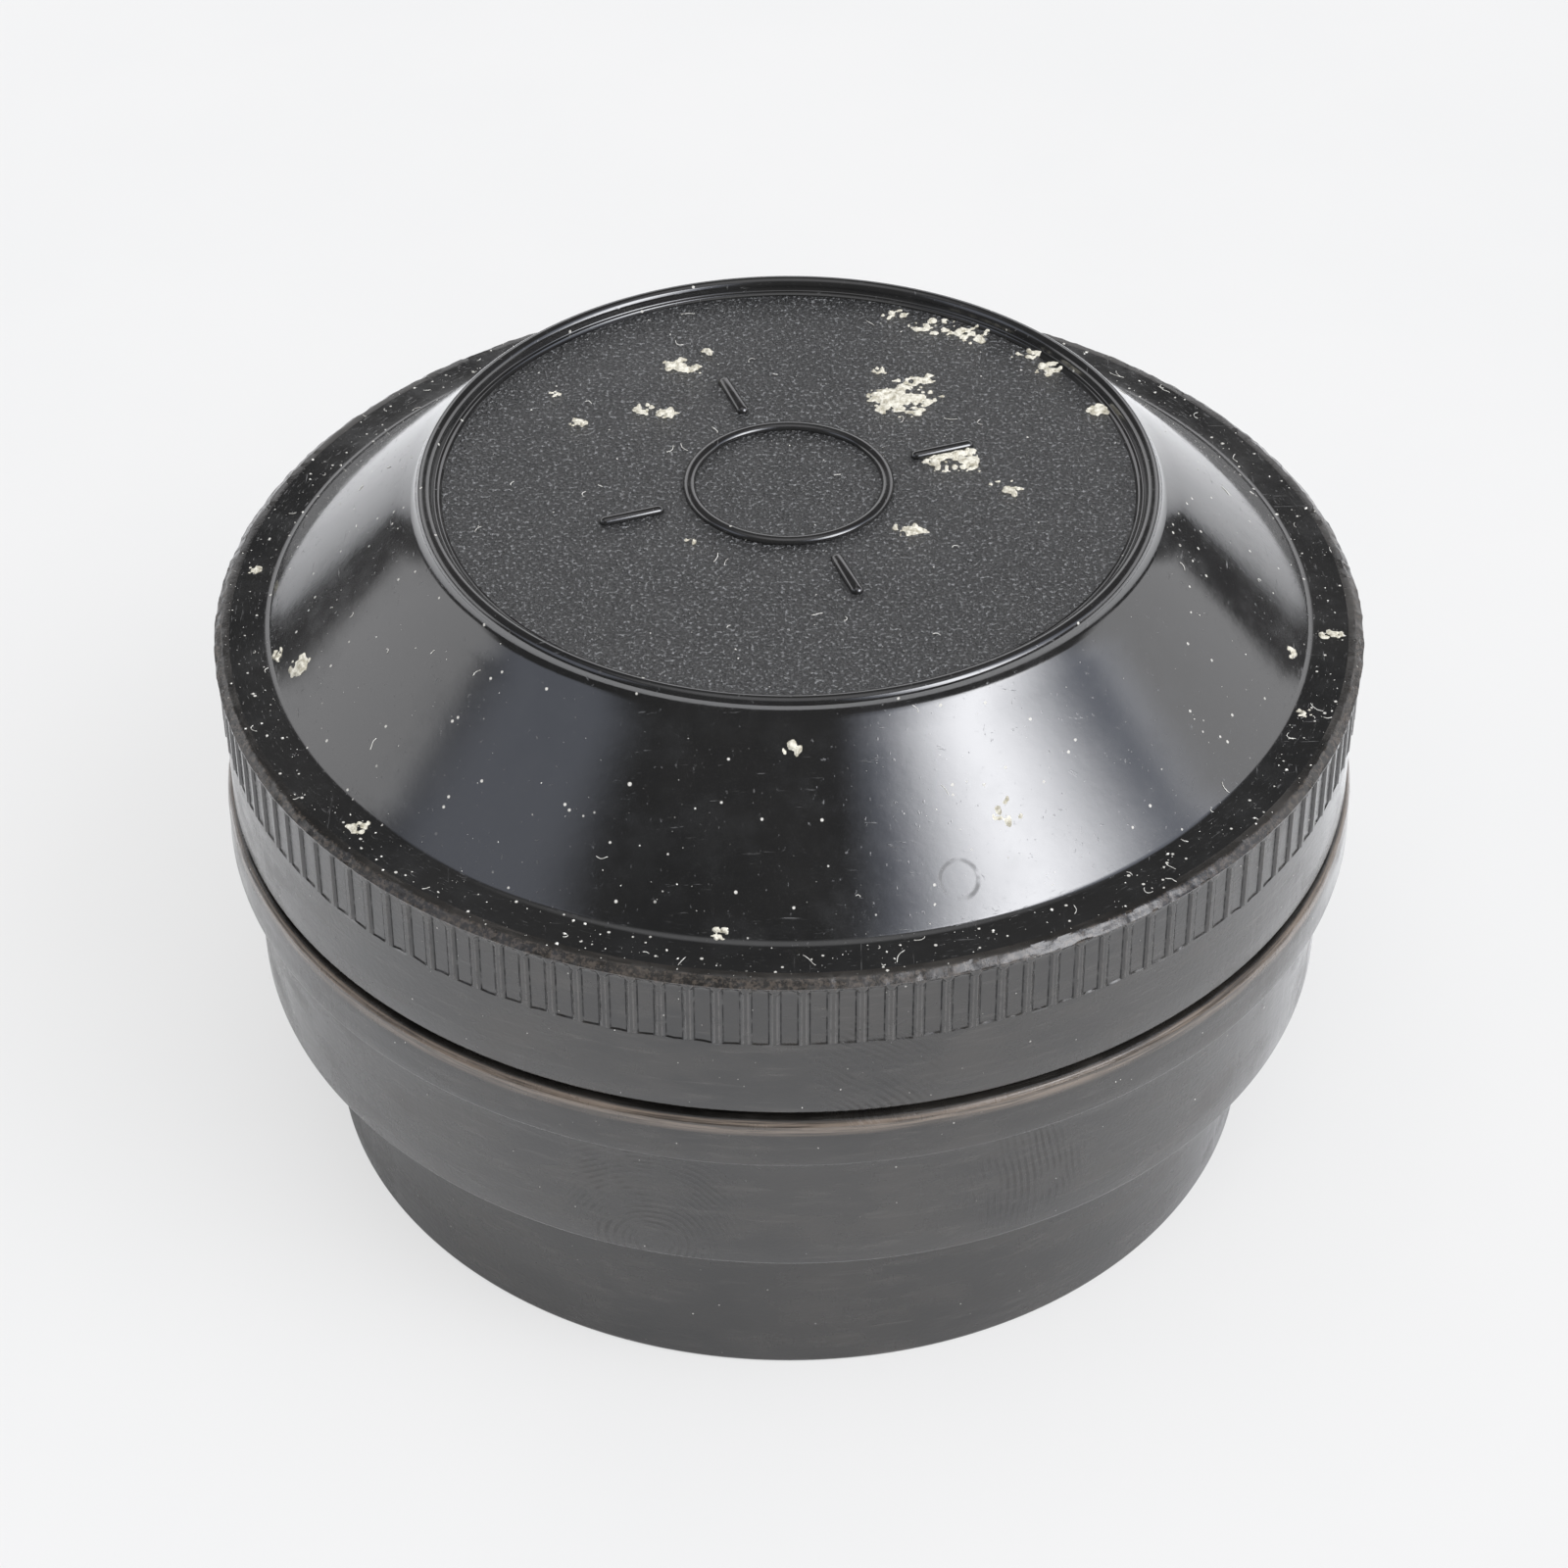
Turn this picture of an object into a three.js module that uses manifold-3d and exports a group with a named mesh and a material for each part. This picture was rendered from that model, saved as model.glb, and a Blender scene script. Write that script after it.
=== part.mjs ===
// A round screw-lid keeper case for a lens or eyepiece, moulded in black phenolic resin.
// Millimetres, +Z up. The origin is the centre of the face that the case stands on.
//
//   base   base_cup, base_felt_pad, seat_spring, seat_ring and four seat screws
//   lid    lid_shell, lid_liner_card and lid_liner_felt
//
// The lid screws onto the base's neck with a right-hand thread.

import * as THREE from 'three';
import { mergeVertices } from 'three/addons/utils/BufferGeometryUtils.js';
import Module from 'manifold-3d';

// ---- driving dimensions ----------------------------------------------------------------

const FULL_TURN = 2 * Math.PI;
const QUARTER_TURN = Math.PI / 2;
const BASE_SEGMENTS = 72;
const LID_SEGMENTS = 68;
const RING_SEGMENTS = 48;
const SCREW_SEGMENTS = 16;
const CUT_PAST = 1;

// Base cup, outside, from the floor upwards.
const FOOT_R = 30.9;
const FOOT_EDGE = 0.35;
const FOOT_TOP_Z = 13.1;
const BAND_BOTTOM_R = 35.1;
const BAND_TOP_R = 35.35;
const BAND_TOP_Z = 22.85;
const FLANGE_BOTTOM_R = 36.6;
const FLANGE_TOP_R = 36.5;
const FLANGE_TOP_Z = 26.3;
const FLANGE_EDGE = 0.5;
const NECK_R = 33.2;
const NECK_TOP_Z = 34.3;
const NECK_EDGE = 0.4;
const STEP_EDGE = 0.25;

// Base cup, inside.
const MOUTH_R = 31.0;
const LEDGE_Z = 15.6;
const WELL_R = 28.0;
const WELL_FLOOR_Z = 2.6;
const WELL_EDGE = 0.6;

// Lid, outside.
const SKIRT_BOTTOM_Z = 26.8;
const SKIRT_R = 36.2;
const COLLAR_R = 36.5;
const COLLAR_HEIGHT = 0.1;
const BEVEL = 0.5;
const SHELF_R = 36.0;
const SHELF_Z = 37.3;
const CONE_FOOT_R = 33.1;
const CONE_FILLET = 0.5;
const CONE_TOP_R = 23.1;
const CONE_TOP_Z = 46.65;
const BEAD_R = 0.5;
const BEAD_CENTRE_R = 22.67;
const BEAD_CENTRE_Z = 46.83;
const PANEL_R = 20.9;
const PANEL_Z = 46.5;
const PANEL_COVE = 0.6;
const PANEL_COVE_RISE = 0.12;

// Lid, inside.
const SKIRT_INNER_R = 34.5;
const SHOULDER_Z = 34.9;
const SHOULDER_INNER_R = 31.55;
const ROOF_R = 22.7;
const ROOF_Z = 43.2;

// Knurl: raised ribs on the lid's upper band, with flat flutes between them.
const RIB_COUNT = 136;
const RIB_TIP_R = 36.42;
const RIB_BOTTOM_Z = 32.3;
const RIB_TOP_Z = 36.83;
const RIB_TIP_HALF_WIDTH = 0.19;
const RIB_ROOT_HALF_WIDTH = 0.4;
const FLUTE_R = 36.08;
const KNURL_SEAT_R = 35.6;
const KNURL_SEAT_Z = 32.5;
const KNURL_INNER_R = 35.1;
const KNURL_HOLE_SEGMENTS = 34;

// Thread: one ridge on the neck and one inside the skirt, half a lead apart.
const THREAD_LEAD = 3.0;
const THREAD_TURNS = 1.25;
const THREAD_START_Z = 28.4;
const THREAD_HEIGHT = 0.85;
const THREAD_ROOT_WIDTH = 1.3;
const THREAD_CREST_WIDTH = 0.7;
const THREAD_FADE = 0.35;
const THREAD_END_SHARE = 0.3;
const THREAD_SINK = 0.4;
const THREAD_START_ANGLE = 0.045;

// Seat for the lens: a bayonet ring over a leaf spring, held by four screws.
const SCREW_COUNT = 4;
const SCREW_CIRCLE_R = 28.4;
const BOSS_R = 2.3;
const SHANK_R = 0.8;
const SCREW_TIP_Z = 10.0;
const HEAD_R = 1.7;
const HEAD_TOP_Z = 18.5;
const HEAD_CONE_HEIGHT = 0.9;
const HEAD_RIM = 0.1;
const TIP_EDGE = 0.4;
const FIRST_SLOT_ANGLE = 0.6;
const SLOT_ANGLE_STEP = 1.3;
const HOLE_CLEARANCE = 0.32;
const SLOT_WIDTH = 0.45;
const SLOT_DEPTH = 0.5;
const RING_OUTER_R = 30.6;
const RING_INNER_R = 24.2;
const RING_BOTTOM_Z = 16.6;
const RING_TOP_Z = 18.6;
const RING_EDGE = 0.3;
const TAB_COUNT = 3;
const TAB_INNER_R = 22.2;
const TAB_SPAN = 0.8;
const TAB_THICKNESS = 1.0;
const TAB_DROP = 0.25;
const TAB_OVERLAP = 0.5;
const SPRING_OUTER_R = 30.4;
const SPRING_INNER_R = 25.9;
const SPRING_BOTTOM_Z = 15.9;
const SPRING_THICKNESS = 0.4;
const LEAF_INNER_R = 22.4;
const LEAF_OUTER_R = 23.9;
const LEAF_SPAN = 1.4;
const LEAF_RISE = 0.8;
const BRIDGE_SPAN = 0.16;
const BRIDGE_OVERLAP = 0.3;

// Soft linings.
const LINING_GAP = 0.3;
const PAD_R = 25.7;
const PAD_THICKNESS = 1.6;
const LINER_R = 21.8;
const CARD_THICKNESS = 0.6;
const LINER_FELT_THICKNESS = 1.5;
const SOFT_EDGE = 0.3;
const CARD_EDGE = 0.1;

// Raised mark on the panel: a ring with four short bars round it.
const MARK_HEIGHT = 0.35;
const MARK_SINK = 0.4;
const MARK_LINE = 0.8;
const MARK_RING_R = 6.2;
const MARK_SEGMENTS = 40;
const MARK_BAR_COUNT = 4;
const MARK_BAR_FROM = 8.2;
const MARK_BAR_TO = 12.4;
const MARK_TURN = 0.35;

// ---- materials -------------------------------------------------------------------------

const polishedResin = new THREE.MeshStandardMaterial({ color: 0x0b0b0c, roughness: 0.12, metalness: 0 });
const satinResin = new THREE.MeshStandardMaterial({ color: 0x1c1b1a, roughness: 0.38, metalness: 0 });
const greyCard = new THREE.MeshStandardMaterial({ color: 0x6b6253, roughness: 0.95, metalness: 0 });
const greenFelt = new THREE.MeshStandardMaterial({ color: 0x23402f, roughness: 1.0, metalness: 0 });
const chromedBrass = new THREE.MeshStandardMaterial({ color: 0xc9c9c6, roughness: 0.22, metalness: 1 });
const springSteel = new THREE.MeshStandardMaterial({ color: 0x8f9296, roughness: 0.35, metalness: 1 });
const screwSteel = new THREE.MeshStandardMaterial({ color: 0xb4b5b8, roughness: 0.3, metalness: 1 });

// ---- solids ----------------------------------------------------------------------------

const wasm = await Module();
wasm.setup();

// A closed three.js geometry as a manifold solid. Triangles that shrink to a line where a
// lathe profile touches the axis are dropped.
function toSolid(geometry) {
  const bare = geometry.clone();
  bare.deleteAttribute('normal');
  bare.deleteAttribute('uv');
  const merged = mergeVertices(bare, 1e-5);
  const index = merged.index.array;
  const kept = [];
  for (let i = 0; i < index.length; i += 3) {
    const [a, b, c] = [index[i], index[i + 1], index[i + 2]];
    if (a !== b && b !== c && c !== a) {
      kept.push(a, b, c);
    }
  }
  const vertProperties = new Float32Array(merged.attributes.position.array);
  const triVerts = new Uint32Array(kept);
  return new wasm.Manifold(new wasm.Mesh({ numProp: 3, vertProperties, triVerts }));
}

function toGeometry(solid) {
  const mesh = solid.getMesh();
  const geometry = new THREE.BufferGeometry();
  geometry.setAttribute('position', new THREE.BufferAttribute(new Float32Array(mesh.vertProperties), 3));
  geometry.setIndex(new THREE.BufferAttribute(new Uint32Array(mesh.triVerts), 1));
  geometry.computeVertexNormals();
  return geometry;
}

function join(solids) {
  return solids.reduce((whole, piece) => whole.add(piece));
}

// A profile of [radius, height] points turned about Z. The points run anticlockwise: up the
// outside, in over the top and down the inside.
function turned(profile, segments) {
  const points = profile.map(([r, z]) => new THREE.Vector2(r, z));
  const geometry = new THREE.LatheGeometry(points, segments);
  geometry.rotateX(Math.PI / 2);
  return toSolid(geometry);
}

// Points of an arc in a profile, from one angle to another, both in radians.
function arc(centreR, centreZ, radius, from, to, steps) {
  const points = [];
  for (let i = 0; i <= steps; i += 1) {
    const angle = from + ((to - from) * i) / steps;
    points.push([centreR + radius * Math.cos(angle), centreZ + radius * Math.sin(angle)]);
  }
  return points;
}

function disc(radius, bottomZ, thickness, edge) {
  const top = bottomZ + thickness;
  const profile = [
    [0, bottomZ],
    [radius - edge, bottomZ],
    [radius, bottomZ + edge],
    [radius, top - edge],
    [radius - edge, top],
    [0, top],
  ];
  return turned(profile, RING_SEGMENTS);
}

function rod(radius, bottomZ, topZ, segments) {
  return turned([[0, bottomZ], [radius, bottomZ], [radius, topZ], [0, topZ]], segments);
}

// A flat plate bent round Z between two radii, centred on an angle. rise gives its extra
// height at a share of its span, from -1 at one end to 1 at the other.
function arcPlate({ innerR, outerR, centre, span, bottomZ, thickness, steps, rise = () => 0 }) {
  const geometry = new THREE.BoxGeometry(outerR - innerR, span, thickness, 1, steps, 1);
  const position = geometry.attributes.position;
  for (let i = 0; i < position.count; i += 1) {
    const r = (innerR + outerR) / 2 + position.getX(i);
    const share = position.getY(i) / (span / 2);
    const angle = centre + position.getY(i);
    const z = bottomZ + thickness / 2 + position.getZ(i) + rise(share);
    position.setXYZ(i, r * Math.cos(angle), r * Math.sin(angle), z);
  }
  return toSolid(geometry);
}

// A right-hand thread ridge. It stands outward from wallR when side is 1 and inward when side
// is -1, and its height fades to nothing over the first and last part of its length.
function threadRidge(wallR, side, startZ, segments) {
  const section = new THREE.Shape();
  const root = THREAD_ROOT_WIDTH / 2;
  const crest = THREAD_CREST_WIDTH / 2;
  section.moveTo(-side * THREAD_SINK, -root);
  section.lineTo(side * THREAD_HEIGHT, -crest);
  section.lineTo(side * THREAD_HEIGHT, crest);
  section.lineTo(-side * THREAD_SINK, root);
  section.closePath();
  const length = THREAD_TURNS * FULL_TURN;
  const steps = Math.round(THREAD_TURNS * segments);
  const geometry = new THREE.ExtrudeGeometry(section, { depth: length, steps, bevelEnabled: false });
  const position = geometry.attributes.position;
  for (let i = 0; i < position.count; i += 1) {
    const along = length - position.getZ(i);
    const fromEnd = Math.min(along, length - along);
    const fade = Math.min(1, THREAD_END_SHARE + fromEnd / THREAD_FADE);
    const offset = position.getX(i);
    const r = wallR + (offset * side > 0 ? offset * fade : offset);
    const z = startZ + position.getY(i) + (THREAD_LEAD * along) / FULL_TURN;
    const angle = THREAD_START_ANGLE + along;
    position.setXYZ(i, r * Math.cos(angle), r * Math.sin(angle), z);
  }
  return toSolid(geometry);
}

function screwAngles() {
  return Array.from({ length: SCREW_COUNT }, (_, i) => ((i + 0.5) * FULL_TURN) / SCREW_COUNT);
}

function tabAngles() {
  return Array.from({ length: TAB_COUNT }, (_, i) => FULL_TURN / 4 + (i * FULL_TURN) / TAB_COUNT);
}

function atScrew(solid, angle) {
  return solid.translate([SCREW_CIRCLE_R * Math.cos(angle), SCREW_CIRCLE_R * Math.sin(angle), 0]);
}

// ---- base ------------------------------------------------------------------------------

function baseCup() {
  const profile = [
    [0, 0],
    ...arc(FOOT_R - FOOT_EDGE, FOOT_EDGE, FOOT_EDGE, -QUARTER_TURN, 0, 2),
    [FOOT_R, FOOT_TOP_Z],
    [BAND_BOTTOM_R - STEP_EDGE, FOOT_TOP_Z],
    [BAND_BOTTOM_R, FOOT_TOP_Z + STEP_EDGE],
    [BAND_TOP_R, BAND_TOP_Z],
    [FLANGE_BOTTOM_R - STEP_EDGE, BAND_TOP_Z],
    [FLANGE_BOTTOM_R, BAND_TOP_Z + STEP_EDGE],
    ...arc(FLANGE_TOP_R - FLANGE_EDGE, FLANGE_TOP_Z - FLANGE_EDGE, FLANGE_EDGE, 0, QUARTER_TURN, 2),
    [NECK_R, FLANGE_TOP_Z],
    [NECK_R, NECK_TOP_Z - NECK_EDGE],
    [NECK_R - NECK_EDGE, NECK_TOP_Z],
    [MOUTH_R + NECK_EDGE, NECK_TOP_Z],
    [MOUTH_R, NECK_TOP_Z - NECK_EDGE],
    [MOUTH_R, LEDGE_Z],
    [0, LEDGE_Z],
  ];
  const cup = turned(profile, BASE_SEGMENTS);
  const ridge = threadRidge(NECK_R, 1, THREAD_START_Z, BASE_SEGMENTS);
  const pilotBottom = SCREW_TIP_Z - 2 * HOLE_CLEARANCE;
  const pilot = rod(SHANK_R + HOLE_CLEARANCE, pilotBottom, LEDGE_Z + CUT_PAST, SCREW_SEGMENTS);
  const pilots = screwAngles().map((angle) => atScrew(pilot, angle));
  return cup.add(ridge).subtract(well()).subtract(join(pilots));
}

// The space of the well: round, with a half-round boss left standing under each screw.
function well() {
  const space = turned([
    [0, WELL_FLOOR_Z],
    [WELL_R - WELL_EDGE, WELL_FLOOR_Z],
    [WELL_R, WELL_FLOOR_Z + WELL_EDGE],
    [WELL_R, LEDGE_Z + CUT_PAST],
    [0, LEDGE_Z + CUT_PAST],
  ], BASE_SEGMENTS);
  const boss = rod(BOSS_R, WELL_FLOOR_Z - CUT_PAST, LEDGE_Z + 2 * CUT_PAST, SCREW_SEGMENTS);
  return space.subtract(join(screwAngles().map((angle) => atScrew(boss, angle))));
}

function baseFeltPad() {
  return disc(PAD_R, WELL_FLOOR_Z + LINING_GAP, PAD_THICKNESS, SOFT_EDGE);
}

// A flat spring washer with three leaves that press up under the bayonet tabs.
function seatSpring() {
  const top = SPRING_BOTTOM_Z + SPRING_THICKNESS;
  const washer = turned([
    [SPRING_INNER_R, SPRING_BOTTOM_Z],
    [SPRING_OUTER_R, SPRING_BOTTOM_Z],
    [SPRING_OUTER_R, top],
    [SPRING_INNER_R, top],
    [SPRING_INNER_R, SPRING_BOTTOM_Z],
  ], RING_SEGMENTS);
  const shared = { bottomZ: SPRING_BOTTOM_Z, thickness: SPRING_THICKNESS };
  const leaves = [];
  for (const centre of tabAngles()) {
    leaves.push(arcPlate({
      ...shared,
      innerR: LEAF_INNER_R,
      outerR: LEAF_OUTER_R,
      centre,
      span: LEAF_SPAN,
      steps: 14,
      rise: (share) => LEAF_RISE * share * share,
    }));
    leaves.push(arcPlate({
      ...shared,
      innerR: LEAF_OUTER_R - BRIDGE_OVERLAP,
      outerR: SPRING_INNER_R + BRIDGE_OVERLAP,
      centre,
      span: BRIDGE_SPAN,
      steps: 2,
    }));
  }
  const holeR = SHANK_R + HOLE_CLEARANCE;
  const hole = rod(holeR, SPRING_BOTTOM_Z - CUT_PAST, top + CUT_PAST, SCREW_SEGMENTS);
  const holes = screwAngles().map((angle) => atScrew(hole, angle));
  return join([washer, ...leaves]).subtract(join(holes));
}

// A bayonet ring: the lens turns in under its three inward tabs.
function seatRing() {
  const ring = turned([
    [RING_INNER_R, RING_BOTTOM_Z],
    [RING_OUTER_R, RING_BOTTOM_Z],
    [RING_OUTER_R, RING_TOP_Z - RING_EDGE],
    [RING_OUTER_R - RING_EDGE, RING_TOP_Z],
    [RING_INNER_R, RING_TOP_Z],
    [RING_INNER_R, RING_BOTTOM_Z],
  ], RING_SEGMENTS);
  const tabs = tabAngles().map((centre) => arcPlate({
    innerR: TAB_INNER_R,
    outerR: RING_INNER_R + TAB_OVERLAP,
    centre,
    span: TAB_SPAN,
    bottomZ: RING_TOP_Z - TAB_DROP - TAB_THICKNESS,
    thickness: TAB_THICKNESS,
    steps: 8,
  }));
  const clear = HOLE_CLEARANCE;
  const countersink = turned([
    [0, RING_BOTTOM_Z - CUT_PAST],
    [SHANK_R + clear, RING_BOTTOM_Z - CUT_PAST],
    [SHANK_R + clear, HEAD_TOP_Z - HEAD_CONE_HEIGHT - clear],
    [HEAD_R + clear, HEAD_TOP_Z - clear],
    [HEAD_R + clear, RING_TOP_Z + CUT_PAST],
    [0, RING_TOP_Z + CUT_PAST],
  ], SCREW_SEGMENTS);
  const holes = screwAngles().map((angle) => atScrew(countersink, angle));
  return join([ring, ...tabs]).subtract(join(holes));
}

function seatScrew(angle, slotAngle) {
  const screw = turned([
    [0, SCREW_TIP_Z],
    [SHANK_R - TIP_EDGE, SCREW_TIP_Z],
    [SHANK_R, SCREW_TIP_Z + TIP_EDGE],
    [SHANK_R, HEAD_TOP_Z - HEAD_CONE_HEIGHT - HEAD_RIM],
    [HEAD_R, HEAD_TOP_Z - HEAD_RIM],
    [HEAD_R, HEAD_TOP_Z],
    [0, HEAD_TOP_Z],
  ], SCREW_SEGMENTS);
  const blade = new THREE.BoxGeometry(3 * HEAD_R, SLOT_WIDTH, 2 * SLOT_DEPTH);
  blade.translate(0, 0, HEAD_TOP_Z);
  blade.rotateZ(slotAngle);
  return atScrew(screw.subtract(toSolid(blade)), angle);
}

// ---- lid -------------------------------------------------------------------------------

function lidBody() {
  const coneLength = Math.hypot(CONE_FOOT_R - CONE_TOP_R, CONE_TOP_Z - SHELF_Z);
  const coneRun = (CONE_FOOT_R - CONE_TOP_R) / coneLength;
  const coneRise = (CONE_TOP_Z - SHELF_Z) / coneLength;
  const profile = [
    [SKIRT_INNER_R + STEP_EDGE, SKIRT_BOTTOM_Z],
    [SKIRT_R - STEP_EDGE, SKIRT_BOTTOM_Z],
    [SKIRT_R, SKIRT_BOTTOM_Z + STEP_EDGE],
    [SKIRT_R, KNURL_SEAT_Z],
    [KNURL_SEAT_R, KNURL_SEAT_Z],
    [KNURL_SEAT_R, SHELF_Z - BEVEL - COLLAR_HEIGHT],
    [COLLAR_R, SHELF_Z - BEVEL - COLLAR_HEIGHT],
    [COLLAR_R, SHELF_Z - BEVEL],
    [SHELF_R, SHELF_Z],
    [CONE_FOOT_R + CONE_FILLET, SHELF_Z],
    [CONE_FOOT_R - CONE_FILLET * coneRun, SHELF_Z + CONE_FILLET * coneRise],
    [CONE_TOP_R, CONE_TOP_Z],
    ...arc(BEAD_CENTRE_R, BEAD_CENTRE_Z, BEAD_R, 0.15, Math.PI * 0.85, 4),
    [PANEL_R + PANEL_COVE, PANEL_Z + PANEL_COVE_RISE],
    [PANEL_R, PANEL_Z],
    [0, PANEL_Z],
    [0, ROOF_Z],
    [ROOF_R, ROOF_Z],
    [SHOULDER_INNER_R, SHOULDER_Z],
    [SKIRT_INNER_R, SHOULDER_Z],
    [SKIRT_INNER_R, SKIRT_BOTTOM_Z + STEP_EDGE],
    [SKIRT_INNER_R + STEP_EDGE, SKIRT_BOTTOM_Z],
  ];
  return turned(profile, LID_SEGMENTS);
}

// The knurled band: a ring whose outline has narrow ribs with sloping flanks, cut off square
// at the bottom. It overlaps the groove that lidBody leaves for it.
function knurl() {
  const corners = [
    [FLUTE_R, -RIB_ROOT_HALF_WIDTH],
    [RIB_TIP_R, -RIB_TIP_HALF_WIDTH],
    [RIB_TIP_R, RIB_TIP_HALF_WIDTH],
    [FLUTE_R, RIB_ROOT_HALF_WIDTH],
  ];
  const outline = [];
  for (let i = 0; i < RIB_COUNT; i += 1) {
    for (const [r, across] of corners) {
      const angle = (i * FULL_TURN) / RIB_COUNT + across / r;
      outline.push(new THREE.Vector2(r * Math.cos(angle), r * Math.sin(angle)));
    }
  }
  const band = new THREE.Shape(outline);
  const hole = new THREE.Path();
  hole.absarc(0, 0, KNURL_INNER_R, 0, FULL_TURN, false);
  band.holes.push(hole);
  const options = {
    depth: RIB_TOP_Z - RIB_BOTTOM_Z,
    bevelEnabled: false,
    curveSegments: KNURL_HOLE_SEGMENTS,
  };
  const ring = new THREE.ExtrudeGeometry(band, options);
  ring.translate(0, 0, RIB_BOTTOM_Z);
  return toSolid(ring);
}

// The raised mark: a ring with four short bars standing off it, like a centring cross.
function panelMark() {
  const bottom = PANEL_Z - MARK_SINK;
  const top = PANEL_Z + MARK_HEIGHT;
  const inner = MARK_RING_R - MARK_LINE / 2;
  const outer = MARK_RING_R + MARK_LINE / 2;
  const ring = turned([
    [inner, bottom],
    [outer, bottom],
    [outer, top],
    [inner, top],
    [inner, bottom],
  ], MARK_SEGMENTS);
  const bars = [];
  for (let i = 0; i < MARK_BAR_COUNT; i += 1) {
    const bar = new THREE.BoxGeometry(MARK_BAR_TO - MARK_BAR_FROM, MARK_LINE, top - bottom);
    bar.translate((MARK_BAR_FROM + MARK_BAR_TO) / 2, 0, (top + bottom) / 2);
    bar.rotateZ(MARK_TURN + (i * FULL_TURN) / MARK_BAR_COUNT);
    bars.push(toSolid(bar));
  }
  return join([ring, ...bars]);
}

function lidShell() {
  const startZ = THREAD_START_Z + THREAD_LEAD / 2;
  const ridge = threadRidge(SKIRT_INNER_R, -1, startZ, LID_SEGMENTS);
  return join([lidBody(), knurl(), ridge, panelMark()]);
}

function lidLinerCard() {
  return disc(LINER_R, ROOF_Z - LINING_GAP - CARD_THICKNESS, CARD_THICKNESS, CARD_EDGE);
}

function lidLinerFelt() {
  const cardBottom = ROOF_Z - LINING_GAP - CARD_THICKNESS;
  return disc(LINER_R, cardBottom - LINING_GAP - LINER_FELT_THICKNESS, LINER_FELT_THICKNESS, SOFT_EDGE);
}

// ---- the assembly ----------------------------------------------------------------------

function part(name, solid, material) {
  const mesh = new THREE.Mesh(toGeometry(solid), material);
  mesh.name = name;
  return mesh;
}

const base = new THREE.Group();
base.add(part('base_cup', baseCup(), satinResin));
base.add(part('base_felt_pad', baseFeltPad(), greenFelt));
base.add(part('seat_spring', seatSpring(), springSteel));
base.add(part('seat_ring', seatRing(), chromedBrass));
screwAngles().forEach((angle, i) => {
  const slotAngle = FIRST_SLOT_ANGLE + SLOT_ANGLE_STEP * i;
  base.add(part(`seat_screw_${i + 1}`, seatScrew(angle, slotAngle), screwSteel));
});

const lid = new THREE.Group();
lid.add(part('lid_shell', lidShell(), polishedResin));
lid.add(part('lid_liner_card', lidLinerCard(), greyCard));
lid.add(part('lid_liner_felt', lidLinerFelt(), greenFelt));

const keeperCase = new THREE.Group();
keeperCase.add(base, lid);

export default keeperCase;
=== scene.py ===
import math

import bmesh
import bpy
import numpy as np
from mathutils import Matrix, Vector


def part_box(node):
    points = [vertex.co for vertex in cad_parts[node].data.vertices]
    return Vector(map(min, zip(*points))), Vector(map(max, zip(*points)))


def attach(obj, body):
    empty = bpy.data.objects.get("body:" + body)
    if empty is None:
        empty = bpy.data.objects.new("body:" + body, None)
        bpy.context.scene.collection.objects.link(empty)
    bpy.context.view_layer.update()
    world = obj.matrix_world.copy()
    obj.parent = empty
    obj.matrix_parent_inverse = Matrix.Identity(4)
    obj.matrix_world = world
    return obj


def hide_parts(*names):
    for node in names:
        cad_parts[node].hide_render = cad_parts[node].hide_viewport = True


# Looks for a round screw-lid keeper case in black phenolic resin. Outlines are worked out in
# millimetres from the CAD boxes, and turned into metres when a mesh is made.

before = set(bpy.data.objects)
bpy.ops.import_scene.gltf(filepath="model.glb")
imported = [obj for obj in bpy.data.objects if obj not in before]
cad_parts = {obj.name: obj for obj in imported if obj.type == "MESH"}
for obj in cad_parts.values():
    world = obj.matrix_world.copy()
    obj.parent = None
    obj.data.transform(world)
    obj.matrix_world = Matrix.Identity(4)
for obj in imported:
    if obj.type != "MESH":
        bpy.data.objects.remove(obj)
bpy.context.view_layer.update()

MM = 0.001
TURN = 2 * math.pi


# ---- sizes, in millimetres -------------------------------------------------------------------


def box_mm(node):
    low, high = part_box(node)
    return low / MM, high / MM


lid_low, lid_high = box_mm("lid_shell")
base_high = box_mm("base_cup")[1]
pad_low, pad_high = box_mm("base_felt_pad")
spring_low, spring_high = box_mm("seat_spring")
ring_low, ring_high = box_mm("seat_ring")
card_low, card_high = box_mm("lid_liner_card")
felt_low, felt_high = box_mm("lid_liner_felt")

# Lid, outside, measured up from its lower edge and in from its collar.
LID_Z = lid_low.z
COLLAR_R = lid_high.x
SKIRT_R = COLLAR_R - 0.3
SHELF_R = COLLAR_R - 0.5
SHELF_Z = LID_Z + 10.5
CONE_FOOT_R = COLLAR_R - 3.4
CONE_FILLET = 0.8
CONE_TOP_R = COLLAR_R - 13.4
CONE_TOP_Z = SHELF_Z + 9.35
BEAD_R = 0.5
BEAD_CENTRE_R = COLLAR_R - 13.83
BEAD_CENTRE_Z = lid_high.z - BEAD_R
CONE_NORMAL_OUT = 0.683
CONE_NORMAL_UP = 0.73
PANEL_R = COLLAR_R - 15.6
PANEL_Z = SHELF_Z + 9.2
PANEL_STEP = 0.13
SMALL_EDGE = 0.25

# Lid, inside.
SKIRT_INNER_R = COLLAR_R - 2.0
SHOULDER_Z = LID_Z + 8.1
SHOULDER_INNER_R = COLLAR_R - 4.95
ROOF_R = COLLAR_R - 13.8
ROOF_Z = LID_Z + 16.4

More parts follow.
